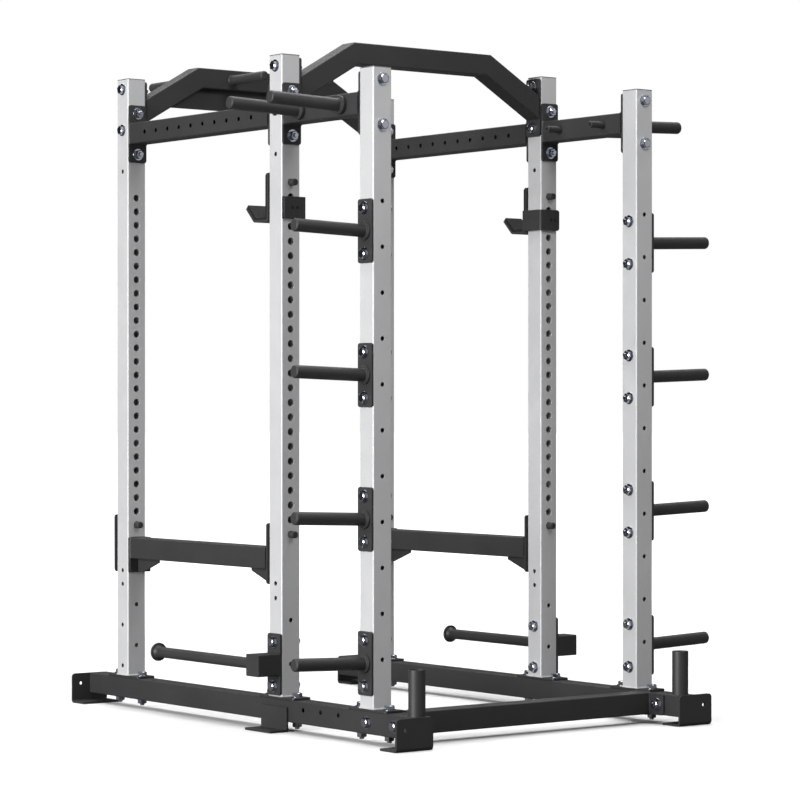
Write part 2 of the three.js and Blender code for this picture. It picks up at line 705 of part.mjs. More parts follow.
/** One hinged rail: pins through both uprights, a hook round the front one, a beam between. */
function safetyBar() {
  const frontPlateY = FRONT_Y + HALF + SAFETY_PAD;
  const endPlateY = MID_Y + HALF + SAFETY_PAD;
  const xs = [INNER_X, OUTER_X];
  const hookPlate = block(xs, [frontPlateY, frontPlateY + PLATE], SAFETY_PLATE_ZS);
  const wrap = strap(FRONT_Y, SAFETY_PAD, SAFETY_STRAP_ZS);
  const endPlate = block(xs, [endPlateY, endPlateY + PLATE], SAFETY_PLATE_ZS);
  const beamStart = endPlateY + PLATE;
  const beamEnd = FRONT_Y - HALF - STRAP_OUT;
  const beam = squareTube('y', [beamStart, beamEnd], [SIDE_X, 0, SAFETY_BEAM_Z]).outer;
  const bore = boreAlongY([beamStart, beamEnd + STRAP_OUT], SAFETY_BEAM_Z);
  const body = join(
    hookPlate,
    wrap,
    endPlate,
    beam,
    gusset(beamStart, 1),
    gusset(beamEnd, -1),
    pin(FRONT_Y, PIN_BOTTOM_Z, frontPlateY + PLATE / 2),
    pin(MID_Y, PIN_BOTTOM_Z, endPlateY + PLATE / 2),
  );
  return body.subtract(bore);
}

function frontSafetyPad() {
  return wrapPad(FRONT_Y, SAFETY_PAD, SAFETY_PLATE_ZS, SAFETY_STRAP_ZS, PIN_BOTTOM_Z);
}

/** Flat plastic pad between the safety bar's end plate and the middle upright. */
function middleSafetyPad() {
  const face = MID_Y + HALF;
  const ys = [face + GAP, face + SAFETY_PAD - GAP];
  const pad = block([INNER_X, OUTER_X], ys, SAFETY_PLATE_ZS);
  const pinHole = rod('y', PIN_RADIUS + 2 * GAP, TUBE, [SIDE_X, MID_Y, PIN_BOTTOM_Z], ROUND_SIDES);
  return pad.subtract(pinHole);
}

function makeFittings() {
  addPair('side_bar', sideBar(), BLACK);
  addPair('j_cup_hook', cupHook(), BLACK);
  addPair('j_cup_liner', pulledAlongX(cupLinerOutline(), [INNER_X, OUTER_X]), PLASTIC);
  addPair('j_cup_pad', cupPad(), PLASTIC);
  addPair('safety_bar', safetyBar(), BLACK);
  addPair('safety_pad_front', frontSafetyPad(), PLASTIC);
  addPair('safety_pad_middle', middleSafetyPad(), PLASTIC);
}

makeUprights();
makeBase();
makeBeams();
makeArches();
makePegs();
makeFittings();

export default cage;
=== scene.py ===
"""Power cage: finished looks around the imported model.

Metres, +Z up, -Y is the storage end. Each steel part is rebuilt with eased edges and round holes in the
place of its faceted node. Bolts, caps, screws, weld beads and hole collars are added, as the solids
leave them out.
"""

import json
import math

import bmesh
import bpy
from mathutils import Matrix, Vector


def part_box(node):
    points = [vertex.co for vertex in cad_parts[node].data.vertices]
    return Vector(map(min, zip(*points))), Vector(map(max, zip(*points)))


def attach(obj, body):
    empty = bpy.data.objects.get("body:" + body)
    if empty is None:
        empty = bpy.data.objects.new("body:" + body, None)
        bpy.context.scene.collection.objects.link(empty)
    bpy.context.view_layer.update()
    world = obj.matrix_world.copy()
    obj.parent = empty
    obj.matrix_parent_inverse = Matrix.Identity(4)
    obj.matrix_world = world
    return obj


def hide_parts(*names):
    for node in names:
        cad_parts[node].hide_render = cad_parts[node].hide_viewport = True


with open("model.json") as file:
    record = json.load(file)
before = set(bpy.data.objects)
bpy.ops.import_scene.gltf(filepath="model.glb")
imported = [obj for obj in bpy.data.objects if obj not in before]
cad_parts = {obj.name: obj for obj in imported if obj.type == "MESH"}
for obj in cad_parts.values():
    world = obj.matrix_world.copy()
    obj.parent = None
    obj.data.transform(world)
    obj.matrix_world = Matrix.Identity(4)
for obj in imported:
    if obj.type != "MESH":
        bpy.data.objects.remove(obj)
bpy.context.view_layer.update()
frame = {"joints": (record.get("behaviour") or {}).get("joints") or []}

# ---- Stock sizes ----
TUBE = 0.075
HALF = TUBE / 2
WALL = 0.003
CORNER = 0.0045
PLATE = 0.008
PLATE_LENGTH = 0.210
PLATE_CORNER = 0.009
BOLT_OFFSET = 0.075
GAP = 0.0003
TINY = 1e-5
PIN_HOLE = 0.013
SMALL_HOLE = 0.0078
SIDES = {"left": -1, "right": 1}
AMBIENT = 0.225
STRIP_LIGHTS = 5
STRIP_STRENGTH = 0.6
STRIP_GAP = 0.03
STRIP_EDGES = (0.6, 0.8)

# ---- Fittings ----
WASHER_RADIUS = 0.0215
HEX_FLATS = 0.0150
HEAD_HEIGHT = 0.0125
NUT_HEIGHT = 0.0150
SHANK_RADIUS = 0.008
CAP_THICKNESS = 0.003
CAP_PLUG = 0.014
COLLAR_DEPTH = 0.011
PEG_RADIUS = 0.0215
PEG_TILT = math.radians(2)
COLLAR_RADIUS = 0.0315
PEG_COLLAR = 0.007
BEAM_PEG_COLLAR = 0.014
PIN_RADIUS = 0.012
SCREW_PITCH = 0.021
PIN_PROUD = 0.027
PAD = 0.0075
STRAP_OUT = PAD + PLATE
SAFETY_PAD = 0.012
SAFETY_BEAM_Z = 0.584
CUP_STRAP_DROP = 0.0485
SAFETY_STRAP_DROP = 0.0455
CUP_FLOOR = 0.093
CUP_LIP = 0.048
CUP_LINER = 0.008
CUP_SEAT = 0.008
BAR_RADIUS = 0.019
DISC_RADIUS = 0.0325
CUP_LIP_LINER = 0.013
SCREW_INSET = 0.022
STRAP_SCREW_SHIFT = 0.006
RIB_LENGTH = 0.136
RIB_FOOT = 0.032
RIB_TIP = 0.012
TIP_EASE = 0.006
SLEEVE_WALL = 0.0025
FOOT_REACH = 0.075
FOOT_ROUND = 0.013
FOOT_HOLE = 0.0068
ARCH_BEND_X = 0.295
ARCH_SLOPE = math.radians(30)

# ---- Small holes ----
STORAGE_HOLE_Z = 0.277
STORAGE_HOLE_PITCH = 0.150
STORAGE_HOLE_COUNT = 11
LOW_HOLES_Z = (0.376, 0.226)
SIDE_HOLES_Z = (1.965, 0.5005, 0.4505)
RAIL_HOLES_Y = (-0.387, -0.4865, -0.586)
RAIL_HOLE_Z = 0.081
BEAM_HOLE_PITCH = 0.0755
BEAM_HOLE_COUNT = 10


def centre(node):
    lo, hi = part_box(node)
    return (Vector(lo) + Vector(hi)) / 2


# ---- Places taken from the frame ----
SIDE_X = centre("upright_front_right").x
FRONT_Y = centre("upright_front_right").y
MID_Y = centre("upright_middle_right").y
REAR_Y = centre("upright_rear_right").y
INNER_X = SIDE_X - HALF
OUTER_X = SIDE_X + HALF
ROWS = {"front": FRONT_Y, "middle": MID_Y, "rear": REAR_Y}
BEAM_Z = centre("side_beam_front_right").z
RAIL_Z = centre("base_rail_right").z
RAIL_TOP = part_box("base_rail_right")[1][2]
ARCH_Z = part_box("arch_front")[1][2] - HALF
ARCH_PLATE_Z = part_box("arch_front")[0][2] + PLATE_LENGTH / 2
CROSS_Y = centre("rear_crossmember").y
SIDE_BAR_Z = centre("side_bar_right").z
PIN_PITCH = 0.050
PIN_COUNT = 25
JOINT_Z = {j["name"]: j["pos_m"][2] for j in frame["joints"]}
PIN_TOP_Z = JOINT_Z["j_cup_turn_right"]
PIN_BOTTOM_Z = JOINT_Z["safety_rail_turn_right"]


# ---- Camera, light and floor ----

def add_camera():
    data = bpy.data.cameras.new("camera")
    data.sensor_width = 36.0
    data.lens = 131.5
    data.clip_end = 100.0
    camera = bpy.data.objects.new("camera", data)
    camera.location = (-6.35965, -8.3817, 1.126)
    camera.rotation_euler = (math.radians(90), 0, math.radians(-37.6))
    bpy.context.scene.collection.objects.link(camera)
    bpy.context.scene.camera = camera


def add_area_light(name, place, target, size, power):
    data = bpy.data.lights.new(name, "AREA")
    data.shape = "SQUARE"
    data.size = size
    data.energy = power
    lamp = bpy.data.objects.new(name, data)
    lamp.location = place
    lamp.rotation_euler = (Vector(target) - Vector(place)).to_track_quat("-Z", "Y").to_euler()
    bpy.context.scene.collection.objects.link(lamp)


def add_world():
    """White surroundings to the eye, soft grey light on the object, and strip lights in bright metal."""
    world = bpy.data.worlds.new("studio")
    world.use_nodes = True
    tree = world.node_tree
    background = tree.nodes["Background"]
    ray = tree.nodes.new("ShaderNodeLightPath")
    strength = tree.nodes.new("ShaderNodeMapRange")
    strength.inputs["To Max"].default_value = 1.0
    tree.links.new(ray.outputs["Is Camera Ray"], strength.inputs["Value"])
    direction = tree.nodes.new("ShaderNodeTexCoord").outputs["Generated"]
    parts = tree.nodes.new("ShaderNodeSeparateXYZ")
    tree.links.new(direction, parts.inputs[0])
    bearing = calc(tree, "ARCTAN2", parts.outputs["Y"], parts.outputs["X"])
    wave = calc(tree, "SINE", calc(tree, "MULTIPLY", bearing, STRIP_LIGHTS), 0.0)
    strip = calc(tree, "MULTIPLY", ramp(tree, wave, *STRIP_EDGES), STRIP_STRENGTH)
    room = calc(tree, "ADD", strip, STRIP_GAP)
    glossy = tree.nodes.new("ShaderNodeMapRange")
    glossy.inputs["To Min"].default_value = AMBIENT
    tree.links.new(ray.outputs["Is Glossy Ray"], glossy.inputs["Value"])
    tree.links.new(room, glossy.inputs["To Max"])
    tree.links.new(glossy.outputs["Result"], strength.inputs["To Min"])
    tree.links.new(strength.outputs["Result"], background.inputs["Strength"])
    background.inputs["Color"].default_value = (1.0, 1.0, 1.0, 1.0)
    bpy.context.scene.world = world


def add_floor():
    """Plain white floor that throws little light back up at the object."""
    bpy.ops.mesh.primitive_plane_add(size=160.0)
    floor = bpy.context.object
    floor.name = "floor"
    material = bpy.data.materials.new("studio_floor")
    material.use_nodes = True
    tree = material.node_tree
    shader = tree.nodes["Principled BSDF"]
    shader.inputs["Roughness"].default_value = 0.95
    shader.inputs["Specular IOR Level"].default_value = 0.0
    ray = tree.nodes.new("ShaderNodeLightPath")
    tone = tree.nodes.new("ShaderNodeMix")
    tone.data_type = "RGBA"
    tone.inputs[6].default_value = (0.16, 0.16, 0.16, 1.0)
    tone.inputs[7].default_value = (0.97, 0.97, 0.97, 1.0)
    tree.links.new(ray.outputs["Is Camera Ray"], tone.inputs["Factor"])
    tree.links.new(tone.outputs[2], shader.inputs["Base Color"])
    place = tree.nodes.new("ShaderNodeTexCoord").outputs["Object"]
    distance = tree.nodes.new("ShaderNodeVectorMath")
    distance.operation = "LENGTH"
    tree.links.new(place, distance.inputs[0])
    far = ramp(tree, distance.outputs["Value"], 2.5, 7.0)
    glow = calc(tree, "MULTIPLY", far, ray.outputs["Is Camera Ray"])
    tree.links.new(glow, shader.inputs["Emission Strength"])
    shader.inputs["Emission Color"].default_value = (1.0, 1.0, 1.0, 1.0)
    floor.data.materials.append(material)


def add_studio():
    bpy.context.scene.view_settings.view_transform = "Standard"
    add_world()
    add_floor()
    add_area_light("key", (-13.8, -1.3, 2.4), (0, 0, 1.0), 5.5, 2500)
    add_area_light("fill", (-0.4, -4.4, 4.6), (0, -0.5, 2.3), 2.0, 120)
    add_area_light("top", (1.0, 2.0, 9.0), (0, 0, 0), 9.0, 900)


# ---- Materials ----

def new_group(name, inputs, outputs):
    """A shader node group. Each socket is (name, type, default value)."""
    tree = bpy.data.node_groups.new(name, "ShaderNodeTree")
    for label, kind, value in inputs:
        socket = tree.interface.new_socket(name=label, in_out="INPUT", socket_type=kind)
        if value is not None:
            socket.default_value = value
    for label, kind in outputs:
        tree.interface.new_socket(name=label, in_out="OUTPUT", socket_type=kind)
    return tree, tree.nodes.new("NodeGroupInput"), tree.nodes.new("NodeGroupOutput")


def noise(tree, position, scale, detail=3.0, roughness=0.5):
    node = tree.nodes.new("ShaderNodeTexNoise")
    node.inputs["Detail"].default_value = detail
    node.inputs["Roughness"].default_value = roughness
    tree.links.new(position, node.inputs["Vector"])
    if isinstance(scale, (int, float)):
        node.inputs["Scale"].default_value = scale
    else:
        tree.links.new(scale, node.inputs["Scale"])
    return node.outputs["Fac"]


def ramp(tree, value, low, high):
    """Value brought to 0 at low and 1 at high, with a smooth change between."""
    node = tree.nodes.new("ShaderNodeMapRange")
    node.interpolation_type = "SMOOTHSTEP"
    node.inputs["From Min"].default_value = low
    node.inputs["From Max"].default_value = high
    tree.links.new(value, node.inputs["Value"])
    return node.outputs["Result"]


def calc(tree, operation, first, second):
    node = tree.nodes.new("ShaderNodeMath")
    node.operation = operation
    for socket, value in zip(node.inputs, (first, second)):
        if isinstance(value, (int, float)):
            socket.default_value = value
        else:
            tree.links.new(value, socket)
    return node.outputs["Value"]


def mix(tree, factor, first, second, blend="MIX"):
    node = tree.nodes.new("ShaderNodeMix")
    node.data_type = "RGBA"
    node.blend_type = blend
    if isinstance(factor, (int, float)):
        node.inputs["Factor"].default_value = factor
    else:
        tree.links.new(factor, node.inputs["Factor"])
    for socket, value in ((node.inputs[6], first), (node.inputs[7], second)):
        if isinstance(value, tuple):
            socket.default_value = value
        else:
            tree.links.new(value, socket)
    return node.outputs[2]


def build_coat_group():
    """Sprayed coat: orange peel height, cloudy tone and fine speckle."""
    tree, start, end = new_group(
        "coat_grain",
        [("Peel Scale", "NodeSocketFloat", 600.0), ("Cloud Scale", "NodeSocketFloat", 5.0)],
        [("Peel Height", "NodeSocketFloat"), ("Cloud", "NodeSocketFloat"), ("Speckle", "NodeSocketFloat")],
    )
    place = tree.nodes.new("ShaderNodeTexCoord").outputs["Object"]
    peel = noise(tree, place, start.outputs["Peel Scale"], 2.0, 0.4)
    cloud = noise(tree, place, start.outputs["Cloud Scale"], 4.0, 0.6)
    fine = calc(tree, "MULTIPLY", start.outputs["Peel Scale"], 2.7)
    speckle = ramp(tree, noise(tree, place, fine, 1.0, 0.5), 0.35, 0.75)
    tree.links.new(peel, end.inputs["Peel Height"])
    tree.links.new(cloud, end.inputs["Cloud"])
    tree.links.new(speckle, end.inputs["Speckle"])
    return tree


def build_wear_group():
    """Worn edges: 1 where a sharp edge has rubbed through, broken up along its length."""
    tree, start, end = new_group(
        "edge_wear",
        [("Width", "NodeSocketFloat", 0.002), ("Amount", "NodeSocketFloat", 0.5)],
        [("Wear", "NodeSocketFloat")],
    )
    geometry = tree.nodes.new("ShaderNodeNewGeometry")
    bevel = tree.nodes.new("ShaderNodeBevel")
    bevel.samples = 4
    tree.links.new(start.outputs["Width"], bevel.inputs["Radius"])
    dot = tree.nodes.new("ShaderNodeVectorMath")
    dot.operation = "DOT_PRODUCT"
    tree.links.new(geometry.outputs["Normal"], dot.inputs[0])
    tree.links.new(bevel.outputs["Normal"], dot.inputs[1])
    turned = calc(tree, "SUBTRACT", 1.0, dot.outputs["Value"])
    edge = ramp(tree, turned, 0.01, 0.12)
    place = tree.nodes.new("ShaderNodeTexCoord").outputs["Object"]
    broken = ramp(tree, noise(tree, place, 60.0, 4.0, 0.65), 0.5, 0.66)
    worn = calc(tree, "MULTIPLY", edge, broken)
    tree.links.new(calc(tree, "MULTIPLY", worn, start.outputs["Amount"]), end.inputs["Wear"])
    return tree


def build_dust_group():
    """Dust on upward faces, and faint wiped streaks."""
    tree, start, end = new_group(
        "settled_dust",
        [("Amount", "NodeSocketFloat", 0.3)],
        [("Dust", "NodeSocketFloat"), ("Smudge", "NodeSocketFloat")],
    )
    geometry = tree.nodes.new("ShaderNodeNewGeometry")
    parts = tree.nodes.new("ShaderNodeSeparateXYZ")
    tree.links.new(geometry.outputs["Normal"], parts.inputs[0])
    upward = ramp(tree, parts.outputs["Z"], 0.5, 1.0)
    place = tree.nodes.new("ShaderNodeTexCoord").outputs["Object"]
    patchy = ramp(tree, noise(tree, place, 14.0, 5.0, 0.65), 0.35, 0.7)
    dust = calc(tree, "MULTIPLY", upward, patchy)
    tree.links.new(calc(tree, "MULTIPLY", dust, start.outputs["Amount"]), end.inputs["Dust"])
    tree.links.new(ramp(tree, noise(tree, place, 9.0, 3.0, 0.7), 0.45, 0.75), end.inputs["Smudge"])
    return tree


GROUPS = {}


def use_group(tree, name, **values):
    node = tree.nodes.new("ShaderNodeGroup")
    node.node_tree = GROUPS[name]
    for label, value in values.items():
        node.inputs[label.replace("_", " ")].default_value = value
    return node


def start_material(name):
    material = bpy.data.materials.new(name)
    material.use_nodes = True
    tree = material.node_tree
    return material, tree, tree.nodes["Principled BSDF"]


def bump(tree, shader, height, strength, distance):
    node = tree.nodes.new("ShaderNodeBump")
    node.inputs["Strength"].default_value = strength
    node.inputs["Distance"].default_value = distance
    tree.links.new(height, node.inputs["Height"])
    tree.links.new(node.outputs["Normal"], shader.inputs["Normal"])


def coat_material(name, dark, light, worn, rough, peel, metallic=0.0, dust=0.3, wear=0.4, peel_strength=0.3):
    """Sprayed powder coat: cloudy tone, orange peel, worn edges and settled dust."""
    material, tree, shader = start_material(name)
    coat = use_group(tree, "coat_grain", Peel_Scale=peel, Cloud_Scale=4.0)
    edges = use_group(tree, "edge_wear", Width=0.0018, Amount=wear)
    dirt = use_group(tree, "settled_dust", Amount=dust)
    tone = mix(tree, coat.outputs["Cloud"], dark, light)
    grained = mix(tree, calc(tree, "MULTIPLY", coat.outputs["Speckle"], 0.35), tone, light)
    rubbed = mix(tree, edges.outputs["Wear"], grained, worn)
    dusty = mix(tree, dirt.outputs["Dust"], rubbed, (0.42, 0.41, 0.39, 1.0))
    tree.links.new(dusty, shader.inputs["Base Color"])
    low, high = rough
    base = calc(tree, "MULTIPLY_ADD", coat.outputs["Cloud"], high - low)
    base.node.inputs[2].default_value = low
    smudged = calc(tree, "ADD", base, calc(tree, "MULTIPLY", dirt.outputs["Smudge"], 0.08))
    tree.links.new(smudged, shader.inputs["Roughness"])
    shader.inputs["Metallic"].default_value = metallic
    bump(tree, shader, coat.outputs["Peel Height"], peel_strength, 0.0010)
    return material


def plastic_material(name, dark, light, rough):
    """Moulded plastic: fine spark-eroded grain, faint flow clouds and pale scuffed edges."""
    material, tree, shader = start_material(name)
    coat = use_group(tree, "coat_grain", Peel_Scale=1400.0, Cloud_Scale=12.0)
    edges = use_group(tree, "edge_wear", Width=0.0012, Amount=0.35)
    dirt = use_group(tree, "settled_dust", Amount=0.04)
    shader.inputs["Specular IOR Level"].default_value = 0.25
    tone = mix(tree, coat.outputs["Cloud"], dark, light)
    scuffed = mix(tree, edges.outputs["Wear"], tone, (0.16, 0.16, 0.16, 1.0))
    dusty = mix(tree, dirt.outputs["Dust"], scuffed, (0.35, 0.34, 0.33, 1.0))
    tree.links.new(dusty, shader.inputs["Base Color"])
    base = calc(tree, "MULTIPLY_ADD", coat.outputs["Speckle"], 0.12)
    base.node.inputs[2].default_value = rough
    tree.links.new(base, shader.inputs["Roughness"])
    bump(tree, shader, coat.outputs["Peel Height"], 0.3, 0.0002)
    return material


def zinc_material():
    """Bright zinc plate: small crystal clouds and pale worn corners."""
    material, tree, shader = start_material("bright_zinc")
    coat = use_group(tree, "coat_grain", Peel_Scale=900.0, Cloud_Scale=70.0)
    edges = use_group(tree, "edge_wear", Width=0.0008, Amount=0.25)
    dirt = use_group(tree, "settled_dust", Amount=0.08)
    tone = mix(tree, coat.outputs["Cloud"], (0.40, 0.42, 0.47, 1.0), (0.54, 0.57, 0.64, 1.0))
    bright = mix(tree, edges.outputs["Wear"], tone, (0.86, 0.86, 0.86, 1.0))
    dusty = mix(tree, dirt.outputs["Dust"], bright, (0.40, 0.39, 0.37, 1.0))
    tree.links.new(dusty, shader.inputs["Base Color"])
    base = calc(tree, "MULTIPLY_ADD", coat.outputs["Cloud"], 0.1)
    base.node.inputs[2].default_value = 0.09
    tree.links.new(base, shader.inputs["Roughness"])
    shader.inputs["Metallic"].default_value = 1.0
    bump(tree, shader, coat.outputs["Peel Height"], 0.15, 0.0001)
    return material


# ---- Mesh tools ----

def link_mesh(name, bm, material):
    bmesh.ops.recalc_face_normals(bm, faces=bm.faces)
    data = bpy.data.meshes.new(name)
    bm.to_mesh(data)
    bm.free()
    data.materials.append(material)
    piece = bpy.data.objects.new(name, data)
    bpy.context.scene.collection.objects.link(piece)
    return piece


def finish_piece(piece, body, replaced=(), bevel=0.0, segments=2):
    """Bakes the bevel and shading into the mesh and gives the piece to its body."""
    if bevel:
        modifier = piece.modifiers.new("eased", "BEVEL")
        modifier.width = bevel
        modifier.segments = segments
        modifier.limit_method = "ANGLE"
        modifier.angle_limit = math.radians(40)
        modifier.harden_normals = False
        bake(piece)
    shade(piece.data)
    modifier = piece.modifiers.new("face_weighting", "WEIGHTED_NORMAL")
    modifier.mode = "FACE_AREA"
    modifier.weight = 100
    modifier.keep_sharp = True
    bake(piece)
    if replaced:
        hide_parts(*replaced)
    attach(piece, body)
    return piece


def black_steel(name, bm, body, replaced=(), bevel=0.0):
    """A black coated steel piece of the body."""
    return finish_piece(link_mesh(name, bm, BLACK), body, replaced, bevel)


def shaped(name, body, make, *args, replaced=(), bevel=0.0, **options):
    """A black coated steel piece, with the mesh that the make function adds."""
    bm = bmesh.new()
    make(bm, *args, **options)
    return black_steel(name, bm, body, replaced, bevel)


def bake(piece):
    """Replaces the mesh by what its modifiers make of it."""
    graph = bpy.context.evaluated_depsgraph_get()
    final = piece.evaluated_get(graph)
    made = bpy.data.meshes.new_from_object(final, preserve_all_data_layers=True, depsgraph=graph)
    piece.modifiers.clear()
    piece.data = made


def shade(data, angle=32):
    """Smooth faces, sharp where two meet at more than the angle."""
    bm = bmesh.new()
    bm.from_mesh(data)
    limit = math.radians(angle)
    for face in bm.faces:
        face.smooth = True
    for edge in bm.edges:
        edge.smooth = len(edge.link_faces) == 2 and edge.calc_face_angle(0.0) < limit
    bm.to_mesh(data)
    bm.free()


def eased_outline(width, height, radius, steps=5):
    """Rectangle about the origin with round corners, as a list of 2-D points."""
    points = []
    for corner in range(4):
        cx = (width / 2 - radius) * (1 if corner in (0, 3) else -1)
        cy = (height / 2 - radius) * (1 if corner < 2 else -1)
        for i in range(steps + 1):
            angle = (corner + i / steps) * math.pi / 2
            points.append((cx + radius * math.cos(angle), cy + radius * math.sin(angle)))
    return points


def prism(bm, outline, start, end, place):
    """Closed prism of a 2-D outline. place turns (u, v, w) into a point; w runs from start to end."""
    rings = [[bm.verts.new(place(u, v, w)) for u, v in outline] for w in (start, end)]
    count = len(outline)
    for i in range(count):
        j = (i + 1) % count
        bm.faces.new((rings[0][i], rings[0][j], rings[1][j], rings[1][i]))
    bm.faces.new(list(reversed(rings[0])))
    bm.faces.new(rings[1])


def pipe_prism(bm, outer, inner, start, end, place):
    """Open square pipe: an outer and an inner outline with as many points, joined at both ends."""
    loops = []
    for outline in (outer, inner):
        loops.append([[bm.verts.new(place(u, v, w)) for u, v in outline] for w in (start, end)])
    (o0, o1), (i0, i1) = loops
    count = len(outer)
    for a in range(count):
        b = (a + 1) % count
        bm.faces.new((o0[a], o0[b], o1[b], o1[a]))
        bm.faces.new((i0[b], i0[a], i1[a], i1[b]))
        bm.faces.new((o0[b], o0[a], i0[a], i0[b]))
        bm.faces.new((o1[a], o1[b], i1[b], i1[a]))


def along(axis, base):
    """A place function for prisms whose length runs along the named axis from a base point."""
    bx, by, bz = base
    if axis == "x":
        return lambda u, v, w: (bx + w, by + u, bz + v)
    if axis == "y":
        return lambda u, v, w: (bx + u, by + w, bz + v)
    return lambda u, v, w: (bx + u, by + v, bz + w)


def tube_outlines():
    """Outer and inner outline of the square tube."""
    bore = TUBE - 2 * WALL
    return eased_outline(TUBE, TUBE, CORNER), eased_outline(bore, bore, CORNER - WALL)


def square_pipe(bm, axis, start, end, base):
    outer, inner = tube_outlines()
    pipe_prism(bm, outer, inner, start, end, along(axis, base))


def rounded_tip(length, radius, ease=TIP_EASE):
    """Profile points that round a turned bar's free end, from its side to its axis."""
    points = [(length - ease, radius)]
    for i in range(1, 7):
        angle = math.radians(90) * i / 6
        points.append((length - ease + ease * math.sin(angle), radius - ease + ease * math.cos(angle)))
    return points + [(length, 0)]


def outward(sign):
    """Axis name that points away from the middle on the side of the sign."""
    return "x" if sign > 0 else "-x"


def turned(bm, profile, axis, base, sides=40, tilt=0.0, angle=0.0):
    """Closed turned solid. profile is [(distance along the axis, radius), ...].

    A radius of 0 closes it on the axis.
    """
    spin = {
        "x": Matrix.Rotation(math.pi / 2, 4, "Y"),
        "-x": Matrix.Rotation(-math.pi / 2, 4, "Y"),
        "y": Matrix.Rotation(-math.pi / 2, 4, "X"),
        "-y": Matrix.Rotation(math.pi / 2, 4, "X"),
        "z": Matrix.Identity(4),
        "-z": Matrix.Rotation(math.pi, 4, "X"),
    }[axis]
    lean = Matrix.Rotation(tilt, 4, "Y")
    matrix = Matrix.Translation(Vector(base)) @ lean @ spin
    rings = []
    for distance, radius in profile:
        if radius == 0:
            rings.append([bm.verts.new(matrix @ Vector((0, 0, distance)))])
            continue
        ring = []
        for i in range(sides):
            turn = angle + 2 * math.pi * i / sides
            point = Vector((radius * math.cos(turn), radius * math.sin(turn), distance))
            ring.append(bm.verts.new(matrix @ point))
        rings.append(ring)
    pairs = list(zip(rings, rings[1:]))
    if len(rings[0]) > 1 and len(rings[-1]) > 1:
        pairs.append((rings[-1], rings[0]))
    for low, high in pairs:
        for i in range(sides):
            j = (i + 1) % sides
            if len(low) == 1:
                bm.faces.new((low[0], high[j], high[i]))
            elif len(high) == 1:
                bm.faces.new((low[i], low[j], high[0]))
            else:
                bm.faces.new((low[i], low[j], high[j], high[i]))


def drill(piece, axis, radius, length, starts, sides=28):
    """Cuts round holes along an axis, one from each start point."""
    bm = bmesh.new()
    for start in starts:
        profile = [(0, 0), (0, radius), (length, radius), (length, 0)]
        turned(bm, profile, axis, start, sides)
    cutter = link_mesh("cutter", bm, piece.data.materials[0])
    modifier = piece.modifiers.new("holes", "BOOLEAN")
    modifier.operation = "DIFFERENCE"
    modifier.solver = "EXACT"
    modifier.object = cutter
    bake(piece)
    bpy.data.objects.remove(cutter)


# ---- Bolts ----

AXIS_STEP = {
    "x": Vector((1, 0, 0)),
    "-x": Vector((-1, 0, 0)),
    "y": Vector((0, 1, 0)),
    "-y": Vector((0, -1, 0)),
    "z": Vector((0, 0, 1)),
    "-z": Vector((0, 0, -1)),
}
OPPOSITE = {"x": "-x", "-x": "x", "y": "-y", "-y": "y", "z": "-z", "-z": "z"}


def hex_head(bm, axis, base, height, washer=True):
    """Washer and chamfered hexagon, standing on the base point and pointing along the axis."""
    seat = 0.0
    if washer:
        seat = 0.0030
        rim = seat - 0.0006
        profile = [(0, 0), (0, WASHER_RADIUS), (rim, WASHER_RADIUS)]
        profile += [(seat, WASHER_RADIUS - 0.0005), (seat, 0)]
        turned(bm, profile, axis, base, 32)
    corner = HEX_FLATS / math.cos(math.pi / 6)
    top = seat + height
    profile = [(seat, 0), (seat, corner), (top - 0.0018, corner), (top, HEX_FLATS * 0.94), (top, 0)]
    turned(bm, profile, axis, base, 6, angle=0.25)


def bolt(bm, axis, base, thickness, tail=0.008):
    """A bolt through a thickness: its head stands on the base and points along the axis."""
    hex_head(bm, axis, base, HEAD_HEIGHT)
    far = Vector(base) - AXIS_STEP[axis] * thickness
    back = OPPOSITE[axis]
    hex_head(bm, back, far, NUT_HEIGHT)
    end = NUT_HEIGHT + tail
    ease = 0.0015
    profile = [(0, 0), (0, SHANK_RADIUS), (end, SHANK_RADIUS)]
    profile += [(end + ease, SHANK_RADIUS - ease), (end + ease, 0)]
    turned(bm, profile, back, far, 20)


def bolt_set(name, body, bolts):
    """One piece that holds the bolts of one joint. Each is (axis, base, thickness)."""
    bm = bmesh.new()
    for axis, base, thickness in bolts:
        bolt(bm, axis, base, thickness)
    return finish_piece(link_mesh(name, bm, ZINC), body)


def bolt_pair(name, sign, face, y, z, along_y=False):
    """Two bolts along X through a tube and a plate, with their heads on the face farther out."""
    places = [(y + k * BOLT_OFFSET, z) if along_y else (y, z + k * BOLT_OFFSET) for k in (-1, 1)]
    bolt_set(name, "frame", [(outward(sign), (sign * face, *place), TUBE + PLATE) for place in places])


# ---- Steel plates ----

def plate(bm, normal, long, base, width=TUBE, length=PLATE_LENGTH, thickness=PLATE, corner=PLATE_CORNER):
    """Flat plate with eased corners. base is the middle of its low face along the normal."""
    bx, by, bz = base
    outline = eased_outline(width, length, corner, 6)
    if normal == "x" and long == "z":
        prism(bm, outline, 0, thickness, lambda u, v, w: (bx + w, by + u, bz + v))
    elif normal == "x":
        prism(bm, outline, 0, thickness, lambda u, v, w: (bx + w, by + v, bz + u))
    elif normal == "y":
        prism(bm, outline, 0, thickness, lambda u, v, w: (bx + u, by + w, bz + v))
    else:
        prism(bm, outline, 0, thickness, lambda u, v, w: (bx + u, by + v, bz + w))


